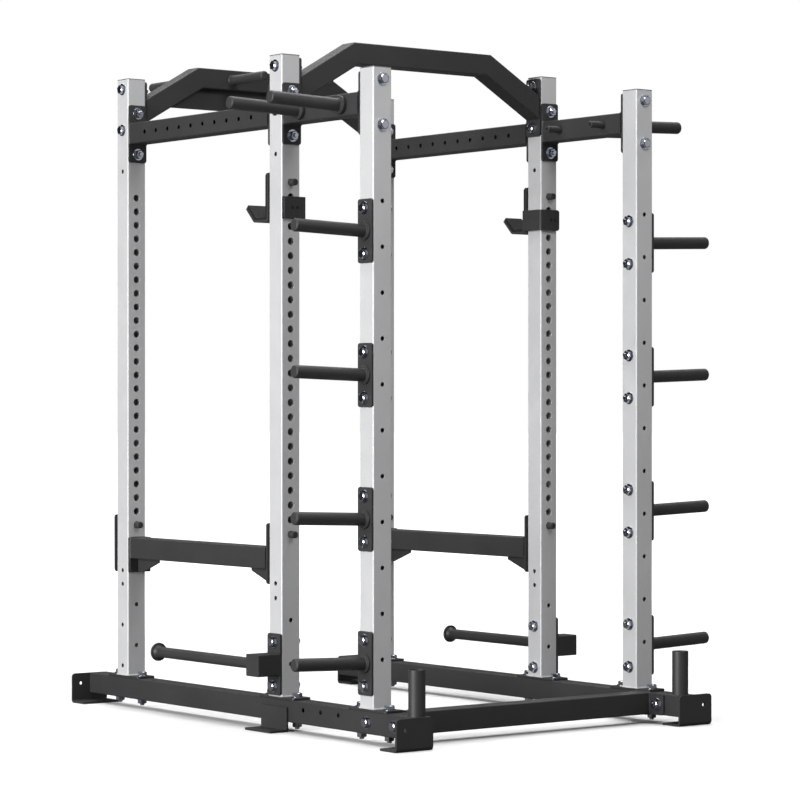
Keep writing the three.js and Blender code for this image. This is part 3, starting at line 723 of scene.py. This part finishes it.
def weld_frame(bm, normal, base, size=TUBE, leg=0.004, direction=1):
    """Weld bead round a square tube where it meets a plate: a rippled band of small leg length."""
    bx, by, bz = base
    ripples = 72
    inner = eased_outline(size, size, CORNER, 3)
    lengths = [0.0]
    for (ax, ay), (cx, cy) in zip(inner, inner[1:] + inner[:1]):
        lengths.append(lengths[-1] + math.hypot(cx - ax, cy - ay))
    around = []
    for i in range(ripples * 2):
        goal = lengths[-1] * i / (ripples * 2)
        k = max(j for j in range(len(inner)) if lengths[j] <= goal)
        (ax, ay), (cx, cy) = inner[k], inner[(k + 1) % len(inner)]
        t = (goal - lengths[k]) / (lengths[k + 1] - lengths[k])
        around.append((ax + (cx - ax) * t, ay + (cy - ay) * t))
    rings = []
    for step, (grow, rise) in enumerate(((0.0, 0.0), (1.0, 0.0), (0.62, 0.62), (0.0, 1.0))):
        ring = []
        for i, (u, v) in enumerate(around):
            swell = leg * (1.0 + (0.13 if i % 2 else -0.05) * (step in (1, 2, 3)))
            reach = math.hypot(u, v)
            out_u = u + (u / reach) * grow * swell
            out_v = v + (v / reach) * grow * swell
            w = direction * rise * swell
            point = {"x": (bx + w, by + out_u, bz + out_v), "y": (bx + out_u, by + w, bz + out_v),
                     "z": (bx + out_u, by + out_v, bz + w)}[normal]
            ring.append(bm.verts.new(point))
        rings.append(ring)
    for low, high in zip(rings, rings[1:] + rings[:1]):
        for i in range(len(around)):
            j = (i + 1) % len(around)
            bm.faces.new((low[i], low[j], high[j], high[i]))


# ---- Uprights ----

def make_upright(row, side, sign):
    node = f"upright_{row}_{side}"
    lo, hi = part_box(node)
    y = ROWS[row]
    bm = bmesh.new()
    square_pipe(bm, "z", lo[2], hi[2], (sign * SIDE_X, y, 0))
    piece = link_mesh(f"steel_{node}", bm, SILVER)
    x = sign * SIDE_X
    if row == "rear":
        heights = [STORAGE_HOLE_Z + STORAGE_HOLE_PITCH * i for i in range(STORAGE_HOLE_COUNT)]
        drill(piece, "y", SMALL_HOLE, HALF, [(x, y - TUBE * 0.75, z) for z in heights])
    else:
        heights = [PIN_TOP_Z - PIN_PITCH * i for i in range(PIN_COUNT)]
        drill(piece, "y", PIN_HOLE, 2 * TUBE, [(x, y - TUBE, z) for z in heights], 32)
        drill(piece, "y", SMALL_HOLE, HALF, [(x, y - TUBE * 0.75, z) for z in LOW_HOLES_Z])
        across = (*SIDE_HOLES_Z, SIDE_BAR_Z + BOLT_OFFSET, SIDE_BAR_Z - BOLT_OFFSET)
        drill(piece, "x", SMALL_HOLE, 2 * TUBE, [(x - TUBE, y, z) for z in across])
    finish_piece(piece, "frame", [node], bevel=0.0005)
    if row != "rear":
        make_hole_collars(f"collars_{node}", x, y, heights)


def make_hole_collars(name, x, y, heights):
    """Short collars that the drilling leaves behind each hole, inside the tube."""
    thickness = 0.0015
    bm = bmesh.new()
    for z in heights:
        for axis, side in (("y", -1), ("-y", 1)):
            profile = [(0, PIN_HOLE), (0, PIN_HOLE + thickness), (COLLAR_DEPTH, PIN_HOLE + thickness),
                       (COLLAR_DEPTH, PIN_HOLE)]
            turned(bm, profile, axis, (x, y + side * (HALF - WALL), z), 32)
    finish_piece(link_mesh(name, bm, SILVER), "frame")


def make_cap(row, side, sign):
    """Thin grey plastic cap that lies on the open top of an upright, with its plug inside the tube."""
    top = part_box(f"upright_{row}_{side}")[1][2]
    bm = bmesh.new()
    base = (sign * SIDE_X, ROWS[row], 0)
    size = TUBE + 0.001
    prism(bm, eased_outline(size, size, CORNER), top, top + CAP_THICKNESS, along("z", base))
    bore = TUBE - 2 * WALL - 2 * GAP
    prism(bm, eased_outline(bore, bore, 0.003), top - CAP_PLUG, top + CAP_THICKNESS / 2, along("z", base))
    piece = link_mesh(f"cap_{row}_{side}", bm, GREY_PLASTIC)
    finish_piece(piece, "frame", bevel=0.0008)


def make_foot_plate(row, side, sign):
    node = f"foot_plate_{row}_{side}"
    base = (sign * SIDE_X, ROWS[row], RAIL_TOP)
    shaped(f"steel_{node}", "frame", plate, "z", "y", base, replaced=[node], bevel=0.0008)
    bm = bmesh.new()
    weld_frame(bm, "z", (base[0], base[1], RAIL_TOP + PLATE))
    finish_piece(link_mesh(f"weld_{node}", bm, SILVER), "frame")
    bolt_set(f"bolts_{node}", "frame", [
        ("z", (base[0], base[1] + k * BOLT_OFFSET, RAIL_TOP + PLATE), TUBE + PLATE) for k in (-1, 1)
    ])


# ---- Base ----

def make_rail(side, sign):
    node = f"base_rail_{side}"
    lo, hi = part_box(node)
    bm = bmesh.new()
    square_pipe(bm, "y", lo[1], hi[1], (sign * SIDE_X, 0, RAIL_Z))
    piece = link_mesh(f"steel_{node}", bm, BLACK)
    start = SIDE_X if sign > 0 else -SIDE_X - TUBE
    drill(piece, "x", SMALL_HOLE, TUBE, [(start, y, RAIL_HOLE_Z) for y in RAIL_HOLES_Y])
    finish_piece(piece, "frame", [node], bevel=0.0005)


def make_crossmember():
    node = "rear_crossmember"
    end = INNER_X - PLATE
    bm = bmesh.new()
    square_pipe(bm, "x", -end - PLATE / 2, end + PLATE / 2, (0, CROSS_Y, RAIL_Z))
    black_steel(f"steel_{node}", bm, "frame", [node], bevel=0.0005)
    for side, sign in SIDES.items():
        bm = bmesh.new()
        low = end if sign > 0 else -INNER_X
        plate(bm, "x", "y", (low, CROSS_Y, RAIL_Z))
        black_steel(f"crossmember_flange_{side}", bm, "frame", bevel=0.0008)
        shaped(f"weld_crossmember_{side}", "frame", weld_frame,
               "x", (sign * end, CROSS_Y, RAIL_Z), direction=-sign)
        bolt_pair(f"bolts_crossmember_{side}", sign, OUTER_X, CROSS_Y, RAIL_Z, along_y=True)


def bent_plate(bm, outline, xs):
    """Plate section in the Y-Z plane, pulled along X."""
    prism(bm, outline, xs[0], xs[1], lambda u, v, w: (w, u, v))


def make_corner_foot(end, side, sign):
    node = f"corner_foot_{end}_{side}"
    lo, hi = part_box(node)
    k = 1 if end == "front" else -1
    outer = hi[1] if k > 0 else lo[1]
    inner = outer - k * PLATE
    flange = lo[1] if k > 0 else hi[1]
    bend = FOOT_ROUND
    outline = [(flange, 0.0)]
    for i in range(7):
        angle = math.radians(90) * i / 6
        outline.append((outer - k * bend + k * bend * math.sin(angle), bend - bend * math.cos(angle)))
    outline += [(outer, hi[2]), (inner, hi[2])]
    outline += [(inner, PLATE + 0.002), (inner - k * 0.002, PLATE), (flange, PLATE)]
    bm = bmesh.new()
    bent_plate(bm, outline, (lo[0], hi[0]))
    piece = link_mesh(f"steel_{node}", bm, BLACK)
    round_top_corners(piece, (lo[0], hi[0]), hi[2], FOOT_ROUND)
    hole_x = sign * (OUTER_X + HALF)
    drill(piece, "y", FOOT_HOLE, 4 * PLATE, [(hole_x, min(outer, inner) - PLATE, RAIL_Z)])
    finish_piece(piece, "frame", [node], bevel=0.0007)


def round_top_corners(piece, xs, top, radius):
    """Rounds a plate's two top corners, where its side edges meet its top."""
    bm = bmesh.new()
    bm.from_mesh(piece.data)
    found = []
    for edge in bm.edges:
        a, b = (v.co for v in edge.verts)
        at_top = abs(a.z - top) < TINY and abs(b.z - top) < TINY
        at_side = abs(a.x - b.x) < TINY and min(abs(a.x - x) for x in xs) < TINY
        if at_top and at_side and abs(a.y - b.y) > 1e-4:
            found.append(edge)
    bmesh.ops.bevel(bm, geom=found, offset=radius, segments=6, profile=0.5, affect="EDGES")
    bm.to_mesh(piece.data)
    bm.free()


def make_middle_foot(side, sign):
    node = f"middle_foot_{side}"
    lo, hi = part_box(node)
    near = OUTER_X
    far = near + FOOT_REACH
    bend = 0.003
    outline = [(near, 0.0), (far, 0.0), (far, PLATE), (near + PLATE + bend, PLATE)]
    outline += [(near + PLATE, PLATE + bend), (near + PLATE, hi[2]), (near, hi[2])]
    shaped(f"steel_{node}", "frame", prism,
           [(sign * u, v) for u, v in outline], lo[1], hi[1], lambda u, v, w: (u, w, v),
           replaced=[node], bevel=0.0008)


def make_sleeve(side, sign):
    node = f"bar_sleeve_{side}"
    lo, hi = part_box(node)
    middle = centre(node)
    height = hi[2] - lo[2]
    outer = (hi[0] - lo[0]) / 2
    inner = outer - SLEEVE_WALL
    lip = 0.0006
    profile = [(0, inner), (0, outer), (height - lip, outer), (height, outer - lip), (height, inner + lip),
               (height - lip, inner)]
    shaped(f"steel_{node}", "frame", turned,
           profile, "z", (sign * SIDE_X, middle.y, lo[2]), 56, replaced=[node])


# ---- Beams and arches ----

def make_side_beam(part, side, sign):
    node = f"side_beam_{part}_{side}"
    lo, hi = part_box(node)
    x = sign * SIDE_X
    bm = bmesh.new()
    square_pipe(bm, "y", lo[1] + PLATE / 2, hi[1] - PLATE / 2, (x, 0, BEAM_Z))
    piece = link_mesh(f"steel_{node}", bm, BLACK)
    if part == "front":
        middle = (lo[1] + hi[1]) / 2
        half_count = (BEAM_HOLE_COUNT - 1) / 2
        places = [(x - TUBE, middle + (i - half_count) * BEAM_HOLE_PITCH, BEAM_Z)
                  for i in range(BEAM_HOLE_COUNT)]
        drill(piece, "x", SMALL_HOLE, 2 * TUBE, places)
    else:
        places = [(x - TUBE, centre(f"beam_peg_{i}_{side}").y, BEAM_Z) for i in (1, 2)]
        drill(piece, "x", PIN_HOLE, 2 * TUBE, places)
    finish_piece(piece, "frame", [node], bevel=0.0005)
    front_face = hi[1] - PLATE
    for end, low, inward, face in (("rear", lo[1], 1, lo[1] + PLATE), ("front", front_face, -1, front_face)):
        shaped(f"flange_{part}_{end}_{side}", "frame", plate, "y", "z", (x, low, BEAM_Z), bevel=0.0008)
        shaped(f"weld_{part}_{end}_{side}", "frame", weld_frame, "y", (x, face, BEAM_Z), direction=inward)


def beam_bolts(side, sign):
    """Bolts that hold the side beams to the uprights, right through each upright."""
    x = sign * SIDE_X
    heights = [BEAM_Z + k * BOLT_OFFSET for k in (-1, 1)]
    front = [("y", (x, FRONT_Y + HALF, z), TUBE + PLATE) for z in heights]
    middle = [("y", (x, MID_Y + HALF + PLATE, z), TUBE + 2 * PLATE) for z in heights]
    rear = [("-y", (x, REAR_Y - HALF, z), TUBE + PLATE) for z in heights]
    bolt_set(f"bolts_beam_front_{side}", "frame", front)
    bolt_set(f"bolts_beam_middle_{side}", "frame", middle)
    bolt_set(f"bolts_beam_rear_{side}", "frame", rear)


def make_arch(row):
    node = f"arch_{row}"
    y = ROWS[row]
    end = INNER_X - PLATE
    slope, bend_x = ARCH_SLOPE, ARCH_BEND_X
    bm = bmesh.new()
    outer, inner = tube_outlines()
    stations = [(-end - PLATE / 2, 0.0), (-bend_x, slope / 2), (bend_x, -slope / 2), (end + PLATE / 2, 0.0)]
    loops = {"outer": [], "inner": []}
    for x, cut in stations:
        leg = abs(x) > bend_x + 0.01
        z = ARCH_Z - (abs(x) - bend_x) * math.tan(slope) if leg else ARCH_Z
        for label, outline in (("outer", outer), ("inner", inner)):
            ring = []
            for u, v in outline:
                if leg:
                    ring.append(bm.verts.new((x, y + u, z + v / math.cos(slope))))
                else:
                    ring.append(bm.verts.new((x - v * math.tan(cut), y + u, z + v)))
            loops[label].append(ring)
    count = len(outer)
    for label in loops:
        for a, b in zip(loops[label], loops[label][1:]):
            for i in range(count):
                j = (i + 1) % count
                bm.faces.new((a[i], a[j], b[j], b[i]))
    for k in (0, -1):
        outside, inside = loops["outer"][k], loops["inner"][k]
        for i in range(count):
            j = (i + 1) % count
            bm.faces.new((outside[i], outside[j], inside[j], inside[i]))
    black_steel(f"steel_{node}", bm, "frame", [node], bevel=0.0005)
    for side, sign in SIDES.items():
        shaped(f"flange_{node}_{side}", "frame", plate,
               "x", "z", (end if sign > 0 else -INNER_X, y, ARCH_PLATE_Z), bevel=0.0008)
        bolt_pair(f"bolts_{node}_{side}", sign, OUTER_X, y, ARCH_PLATE_Z)


def make_sign():
    node = "sign_panel"
    lo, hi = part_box(node)
    slope = math.tan(ARCH_SLOPE)
    foot = hi[0]
    shoulder = foot - (hi[2] - lo[2]) / slope
    outline = [(-foot, lo[2]), (foot, lo[2]), (shoulder, hi[2]), (-shoulder, hi[2])]
    shaped(f"steel_{node}", "frame", prism,
           outline, lo[1], hi[1], lambda u, v, w: (u, w, v), replaced=[node], bevel=0.0008)


def make_grip(part, side):
    node = f"grip_{part}_{side}"
    lo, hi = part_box(node)
    middle = centre(node)
    radius = (hi[2] - lo[2]) / 2
    profile = [(0, 0), (0, radius)] + rounded_tip(hi[1] - lo[1], radius)
    axis = "y" if part == "front" else "-y"
    start = lo[1] if part == "front" else hi[1]
    shaped(f"steel_{node}", "frame", turned, profile, axis, (middle.x, start, middle.z), 48, replaced=[node])
    leg = 0.0035
    bead = [(0, radius - 0.001), (0, radius + leg), (leg * 0.6, radius + leg * 0.6), (leg, radius - 0.001)]
    shaped(f"weld_{node}", "frame", turned, bead, axis, (middle.x, start, middle.z), 48)


# ---- Storage pegs ----

def peg_profile(reach, collar, collar_radius):
    """Peg with a collar at its foot, sunk a little into the face behind it."""
    sunk, ease, fillet = -0.002, 0.0015, 0.003
    profile = [(sunk, 0), (sunk, collar_radius)]
    profile += [(collar - ease, collar_radius), (collar, collar_radius - ease)]
    profile += [(collar, PEG_RADIUS + fillet), (collar + fillet, PEG_RADIUS)]
    return profile + rounded_tip(reach, PEG_RADIUS)


def make_peg(number, side, sign):
    node = f"storage_peg_{number}_{side}"
    lo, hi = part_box(node)
    z = (lo[2] + hi[2]) / 2
    tip = max(abs(lo[0]), abs(hi[0]))
    face = OUTER_X + PLATE
    shaped(f"plate_{node}", "frame", plate,
           "x", "z", (OUTER_X if sign > 0 else -face, REAR_Y, z), bevel=0.0008)
    bm = bmesh.new()
    profile = peg_profile((tip - face) / math.cos(PEG_TILT) - 0.001, PEG_COLLAR, COLLAR_RADIUS)
    turned(bm, profile, outward(sign), (sign * face, REAR_Y, z), 56, tilt=-sign * PEG_TILT)
    black_steel(f"steel_{node}", bm, "frame", [node])
    bolt_pair(f"bolts_{node}", sign, face, REAR_Y, z)


def make_beam_peg(number, side, sign):
    node = f"beam_peg_{number}_{side}"
    lo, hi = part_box(node)
    y = centre(node).y
    tip = max(abs(lo[0]), abs(hi[0]))
    axis = outward(sign)
    bm = bmesh.new()
    profile = peg_profile((tip - OUTER_X) / math.cos(PEG_TILT) - 0.001, BEAM_PEG_COLLAR, COLLAR_RADIUS)
    profile[0] = (0.0015, 0)
    profile[1] = (0.0015, COLLAR_RADIUS)
    turned(bm, profile, axis, (sign * OUTER_X, y, BEAM_Z), 56, tilt=-sign * PEG_TILT)
    black_steel(f"steel_{node}", bm, "frame", [node])
    end = min(abs(lo[0]), abs(hi[0]))
    length = OUTER_X + WALL - end
    ease = 0.0015
    bore, depth = 0.004, 0.030
    profile = [(0, 0), (0, PIN_RADIUS), (length - ease, PIN_RADIUS), (length, PIN_RADIUS - ease)]
    profile += [(length, bore), (length - depth, bore), (length - depth, 0)]
    shaped(f"pin_{node}", "frame", turned, profile, OPPOSITE[axis], (sign * (OUTER_X + WALL), y, BEAM_Z), 36)


# ---- Side bars ----

def make_side_bar(side, sign):
    node = f"side_bar_{side}"
    lo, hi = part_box(node)
    outer = max(abs(lo[0]), abs(hi[0]))
    face = OUTER_X + PLATE
    bar_x = sign * (face + outer) / 2
    end = hi[1]
    shaped(f"plate_{node}", "frame", plate,
           "x", "z", (OUTER_X if sign > 0 else -face, MID_Y, SIDE_BAR_Z), bevel=0.0008)
    bm = bmesh.new()
    xs = sorted((sign * face, sign * outer))
    prism(bm, eased_outline(TUBE, TUBE, CORNER), xs[0], xs[1], along("x", (0, MID_Y, SIDE_BAR_Z)))
    black_steel(f"stub_{node}", bm, "frame", bevel=0.0008)
    start = MID_Y + HALF
    length = end - start
    disc = 0.009
    flare = 0.016
    profile = [(-0.001, 0), (-0.001, BAR_RADIUS)]
    profile.append((length - disc - flare, BAR_RADIUS))
    for i in range(1, 6):
        t = i / 5
        profile.append((length - disc - flare * (1 - t), BAR_RADIUS + 0.007 * t * t))
    profile += [(length - disc, DISC_RADIUS - 0.0015), (length - disc + 0.0015, DISC_RADIUS),
                (length - 0.0015, DISC_RADIUS), (length, DISC_RADIUS - 0.0015), (length, 0)]
    shaped(f"steel_{node}", "frame", turned, profile, "y", (bar_x, start, SIDE_BAR_Z), 56, replaced=[node])
    bolt_pair(f"bolts_{node}", sign, face, MID_Y, SIDE_BAR_Z)


# ---- J-cups ----

def screw(bm, axis, base):
    """Small countersunk screw with a socket recess."""
    profile = [(0.0006, 0), (-0.0006, 0.0022), (0.0010, 0.0026), (0.0013, 0.0052)]
    profile += [(0.0004, 0.0058), (-0.0010, 0.0058), (-0.0010, 0)]
    turned(bm, profile, axis, base, 20)


def rounded_section(points, radii, steps=5):
    """Outline through the points, with the given corner radius at each."""
    made = []
    count = len(points)
    for i, (point, radius) in enumerate(zip(points, radii)):
        here = Vector(point)
        if radius == 0:
            made.append(tuple(here))
            continue
        before = (Vector(points[i - 1]) - here).normalized()
        after = (Vector(points[(i + 1) % count]) - here).normalized()
        half = before.angle(after) / 2
        reach = radius / math.tan(half)
        start, stop = here + before * reach, here + after * reach
        middle = here + (before + after).normalized() * (radius / math.sin(half))
        a, b = start - middle, stop - middle
        for k in range(steps + 1):
            made.append(tuple(middle + a.lerp(b, k / steps).normalized() * radius))
    return made


def make_strap(name, sign, y, front_pad, zs, body):
    """Steel strap round the upright's inner side. Its front leg is let a hair into the front plate."""
    outside = INNER_X - STRAP_OUT
    inside = INNER_X - PAD
    front = y + HALF + front_pad + PLATE - GAP
    front_inside = front - PLATE + 2 * GAP
    rear = y - HALF - STRAP_OUT
    points = [
        (SIDE_X, front), (outside, front), (outside, rear), (OUTER_X, rear),
        (OUTER_X, rear + PLATE), (inside, rear + PLATE), (inside, front_inside), (SIDE_X, front_inside),
    ]
    radii = [0, 0.006, 0.006, 0, 0, 0.001, 0.001, 0]
    outline = [(sign * u, v) for u, v in rounded_section(points, radii)]
    bm = bmesh.new()
    prism(bm, outline, zs[0], zs[1], lambda u, v, w: (u, v, w))
    piece = link_mesh(name, bm, BLACK)
    round_plate_end(piece, sign * OUTER_X, 0.010)
    return finish_piece(piece, body, bevel=0.0008)


def round_plate_end(piece, x, radius):
    """Rounds the two corners at the free end of a plate that ends at x."""
    bm = bmesh.new()
    bm.from_mesh(piece.data)
    found = []
    for edge in bm.edges:
        a, b = (v.co for v in edge.verts)
        if abs(a.x - x) < TINY and abs(b.x - x) < TINY and abs(a.y - b.y) > 10 * TINY:
            found.append(edge)
    bmesh.ops.bevel(bm, geom=found, offset=radius, segments=6, profile=0.5, affect="EDGES")
    bm.to_mesh(piece.data)
    bm.free()


def make_j_cup(side, sign):
    body = f"j_cup_{side}"
    hook, liner, pad = (f"{n}_{side}" for n in ("j_cup_hook", "j_cup_liner", "j_cup_pad"))
    lo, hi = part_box(hook)
    face = MID_Y + HALF
    bottom, top = lo[2], hi[2]
    back = face + PAD
    lip_foot = face + CUP_FLOOR
    lip_tip = lip_foot + CUP_LIP
    rise = PLATE * math.sqrt(0.5)
    inner_foot = lip_foot - PLATE * math.tan(math.pi / 8)
    points = [
        (back, top), (back, bottom), (lip_foot, bottom), (lip_tip, bottom + CUP_LIP),
        (lip_tip - rise, bottom + CUP_LIP + rise), (inner_foot, bottom + PLATE),
        (back + PLATE, bottom + PLATE), (back + PLATE, top),
    ]
    radii = [0, 0.010, 0.014, 0.0015, 0.0015, 0.006, 0.003, 0]
    outline = rounded_section(points, radii)
    xs = sorted((sign * INNER_X, sign * OUTER_X))
    bm = bmesh.new()
    prism(bm, outline, xs[0], xs[1], lambda u, v, w: (w, u, v))
    piece = link_mesh(f"steel_{hook}", bm, BLACK)
    round_top_corners(piece, xs, top, 0.010)
    finish_piece(piece, body, [hook], bevel=0.0008)
    strap_zs = (PIN_TOP_Z - CUP_STRAP_DROP - TUBE, PIN_TOP_Z - CUP_STRAP_DROP)
    make_strap(f"strap_{hook}", sign, MID_Y, PAD, strap_zs, body)

    # liner in the hook
    floor = bottom + PLATE + GAP
    wall = back + PLATE + GAP
    inset = (PLATE + GAP) * math.sqrt(0.5)
    thick = CUP_LIP_LINER * math.sqrt(0.5)
    outer_foot = lip_foot - (PLATE + GAP) * math.tan(math.pi / 8)
    outer_tip = (lip_tip - inset, bottom + CUP_LIP + inset)
    inner_tip = (outer_tip[0] - thick, outer_tip[1] + thick)
    seat = floor + CUP_SEAT
    inner_foot = inner_tip[0] - (inner_tip[1] - seat)
    points = [
        (wall, top), (wall, floor), (outer_foot, floor), outer_tip, inner_tip, (inner_foot, seat),
        (wall + CUP_LINER, seat), (wall + CUP_LINER, top - CUP_LINER),
    ]
    radii = [0, 0.002, 0.004, 0.0005, 0.003, 0.010, 0.006, 0.003]
    bm = bmesh.new()
    prism(bm, rounded_section(points, radii), xs[0], xs[1], lambda u, v, w: (w, u, v))
    piece = link_mesh(f"plastic_{liner}", bm, PLASTIC)
    finish_piece(piece, body, [liner], bevel=0.0015, segments=3)

    # pad against the upright
    make_pad(f"plastic_{pad}", pad, sign, MID_Y, PAD, (bottom, top), strap_zs, body)
    make_pin(f"pin_{hook}", sign, MID_Y, PIN_TOP_Z, back + PLATE / 2, body)

    # Screws take the darkest plastic colour. This is painted shade that stands for the shade in their socket
    # recesses, so they show as dark dots.
    bm = bmesh.new()
    strap_middle = (strap_zs[0] + strap_zs[1]) / 2
    for k in (-1, 1):
        screw(bm, "y", (sign * SIDE_X + k * SCREW_INSET, back + PLATE + GAP + CUP_LINER, top - SCREW_INSET))
        strap_x = sign * SIDE_X + STRAP_SCREW_SHIFT + k * SCREW_PITCH / 2
        screw(bm, "-y", (strap_x, MID_Y - HALF - STRAP_OUT, strap_middle))
    finish_piece(link_mesh(f"screws_{hook}", bm, PLASTIC), body)


def make_pad(name, node, sign, y, front_pad, plate_zs, strap_zs, body):
    """Plastic pad round the upright, between it and the steel, following the steel's two heights."""
    front, rear = y + HALF, y - HALF
    bm = bmesh.new()
    xs = sorted((sign * INNER_X, sign * OUTER_X))
    near_y, far_y = front + GAP, front + front_pad - GAP
    outline = [(xs[0], near_y), (xs[1], near_y), (xs[1], far_y), (xs[0], far_y)]
    prism(bm, outline, plate_zs[0], plate_zs[1], lambda u, v, w: (u, v, w))
    piece = link_mesh(name, bm, PLASTIC)
    finish_piece(piece, body, [node], bevel=0.0006)
    near, far = INNER_X - GAP, INNER_X - PAD + GAP
    points = [
        (near, far_y), (far, far_y), (far, rear - PAD + GAP),
        (OUTER_X, rear - PAD + GAP), (OUTER_X, rear - GAP), (near, rear - GAP),
    ]
    outline = [(sign * u, v) for u, v in rounded_section(points, [0, 0.001, 0.001, 0, 0, 0.0005])]
    bm = bmesh.new()
    prism(bm, outline, strap_zs[0], strap_zs[1], lambda u, v, w: (u, v, w))
    finish_piece(link_mesh(f"{name}_wrap", bm, PLASTIC), body, bevel=0.0006)


def make_pin(name, sign, y, z, front, body):
    """Round pin through an upright, with a chamfered nose that stands out behind it."""
    start = y - HALF - PIN_PROUD
    length = front - start
    ease = 0.002
    profile = [(0, 0), (0, PIN_RADIUS - ease), (ease, PIN_RADIUS), (length, PIN_RADIUS), (length, 0)]
    shaped(name, body, turned, profile, "y", (sign * SIDE_X, start, z), 36)


# ---- Safety bars ----

def make_safety(side, sign):
    body = f"safety_rail_{side}"
    node = f"safety_bar_{side}"
    lo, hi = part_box(node)
    bottom, top = lo[2], hi[2]
    strap_zs = (bottom + GAP, PIN_BOTTOM_Z - SAFETY_STRAP_DROP)
    front_plate = FRONT_Y + HALF + SAFETY_PAD
    end_plate = MID_Y + HALF + SAFETY_PAD
    x = sign * SIDE_X
    middle_z = (bottom + top) / 2
    height = top - bottom
    for label, y in (("front", front_plate), ("middle", end_plate)):
        bm = bmesh.new()
        plate(bm, "y", "z", (x, y, middle_z), length=height)
        piece = link_mesh(f"plate_{label}_{node}", bm, BLACK)
        finish_piece(piece, body, bevel=0.0008)
    make_strap(f"strap_{node}", sign, FRONT_Y, SAFETY_PAD, strap_zs, body)
    beam_start = end_plate + PLATE
    beam_end = FRONT_Y - HALF - STRAP_OUT
    bm = bmesh.new()
    base = (x, 0, SAFETY_BEAM_Z)
    prism(bm, eased_outline(TUBE, TUBE, CORNER), beam_start, beam_end, along("y", base))
    black_steel(f"steel_{node}", bm, body, [node], bevel=0.0005)
    for label, y, k in (("middle", beam_start, 1), ("front", beam_end, -1)):
        under = SAFETY_BEAM_Z - HALF
        rib_top, rib_bottom, rib_end = under + 0.001, bottom + 0.002, y + k * RIB_LENGTH
        outline = [(y, rib_top), (rib_end, rib_top), (rib_end, under - RIB_TIP)]
        outline += [(y + k * RIB_FOOT, rib_bottom), (y, rib_bottom)]
        shaped(f"rib_{label}_{node}", body, prism,
               outline, x - PLATE / 2, x + PLATE / 2, lambda u, v, w: (w, u, v), bevel=0.0008)
        shaped(f"weld_{label}_{node}", body, weld_frame, "y", (x, y, SAFETY_BEAM_Z), direction=k)
    make_pin(f"pin_front_{node}", sign, FRONT_Y, PIN_BOTTOM_Z, front_plate + PLATE / 2, body)
    make_pin(f"pin_middle_{node}", sign, MID_Y, PIN_BOTTOM_Z, end_plate + PLATE / 2, body)
    make_pad(f"plastic_safety_pad_front_{side}", f"safety_pad_front_{side}", sign, FRONT_Y, SAFETY_PAD,
             (bottom, top), strap_zs, body)
    bm = bmesh.new()
    front = MID_Y + HALF
    outline = eased_outline(TUBE, height, PLATE_CORNER)
    prism(bm, outline, front + GAP, front + SAFETY_PAD - GAP, lambda u, v, w: (x + u, w, middle_z + v))
    finish_piece(link_mesh(f"plastic_safety_pad_middle_{side}", bm, PLASTIC), body,
                 [f"safety_pad_middle_{side}"], bevel=0.0006)


# ---- Build ----

add_camera()
add_studio()

GROUPS["coat_grain"] = build_coat_group()
GROUPS["edge_wear"] = build_wear_group()
GROUPS["settled_dust"] = build_dust_group()

SILVER = coat_material("silver_powder_coat", (0.54, 0.545, 0.55, 1), (0.64, 0.645, 0.65, 1),
                       (0.70, 0.70, 0.70, 1), (0.42, 0.56), 260.0,
                       metallic=0.30, dust=0.10, wear=0.25, peel_strength=0.5)
BLACK = coat_material("black_powder_coat", (0.019, 0.019, 0.0195, 1), (0.031, 0.031, 0.0315, 1),
                      (0.16, 0.16, 0.165, 1), (0.44, 0.56), 700.0, dust=0.05, wear=0.45)
PLASTIC = plastic_material("black_moulded_plastic", (0.007, 0.007, 0.0075, 1), (0.012, 0.012, 0.0125, 1), 0.6)
GREY_PLASTIC = plastic_material("grey_cap_plastic", (0.12, 0.12, 0.123, 1), (0.17, 0.17, 0.173, 1), 0.5)
ZINC = zinc_material()

for side, sign in SIDES.items():
    for row in ROWS:
        make_upright(row, side, sign)
        make_cap(row, side, sign)
        make_foot_plate(row, side, sign)
    make_rail(side, sign)
    make_corner_foot("front", side, sign)
    make_corner_foot("rear", side, sign)
    make_middle_foot(side, sign)
    make_sleeve(side, sign)
    make_side_beam("front", side, sign)
    make_side_beam("rear", side, sign)
    beam_bolts(side, sign)
    make_grip("front", side)
    make_grip("rear", side)
    for number in (1, 2, 3, 4):
        make_peg(number, side, sign)
    for number in (1, 2):
        make_beam_peg(number, side, sign)
    make_side_bar(side, sign)
    make_j_cup(side, sign)
    make_safety(side, sign)
make_crossmember()
make_arch("front")
make_arch("middle")
make_sign()
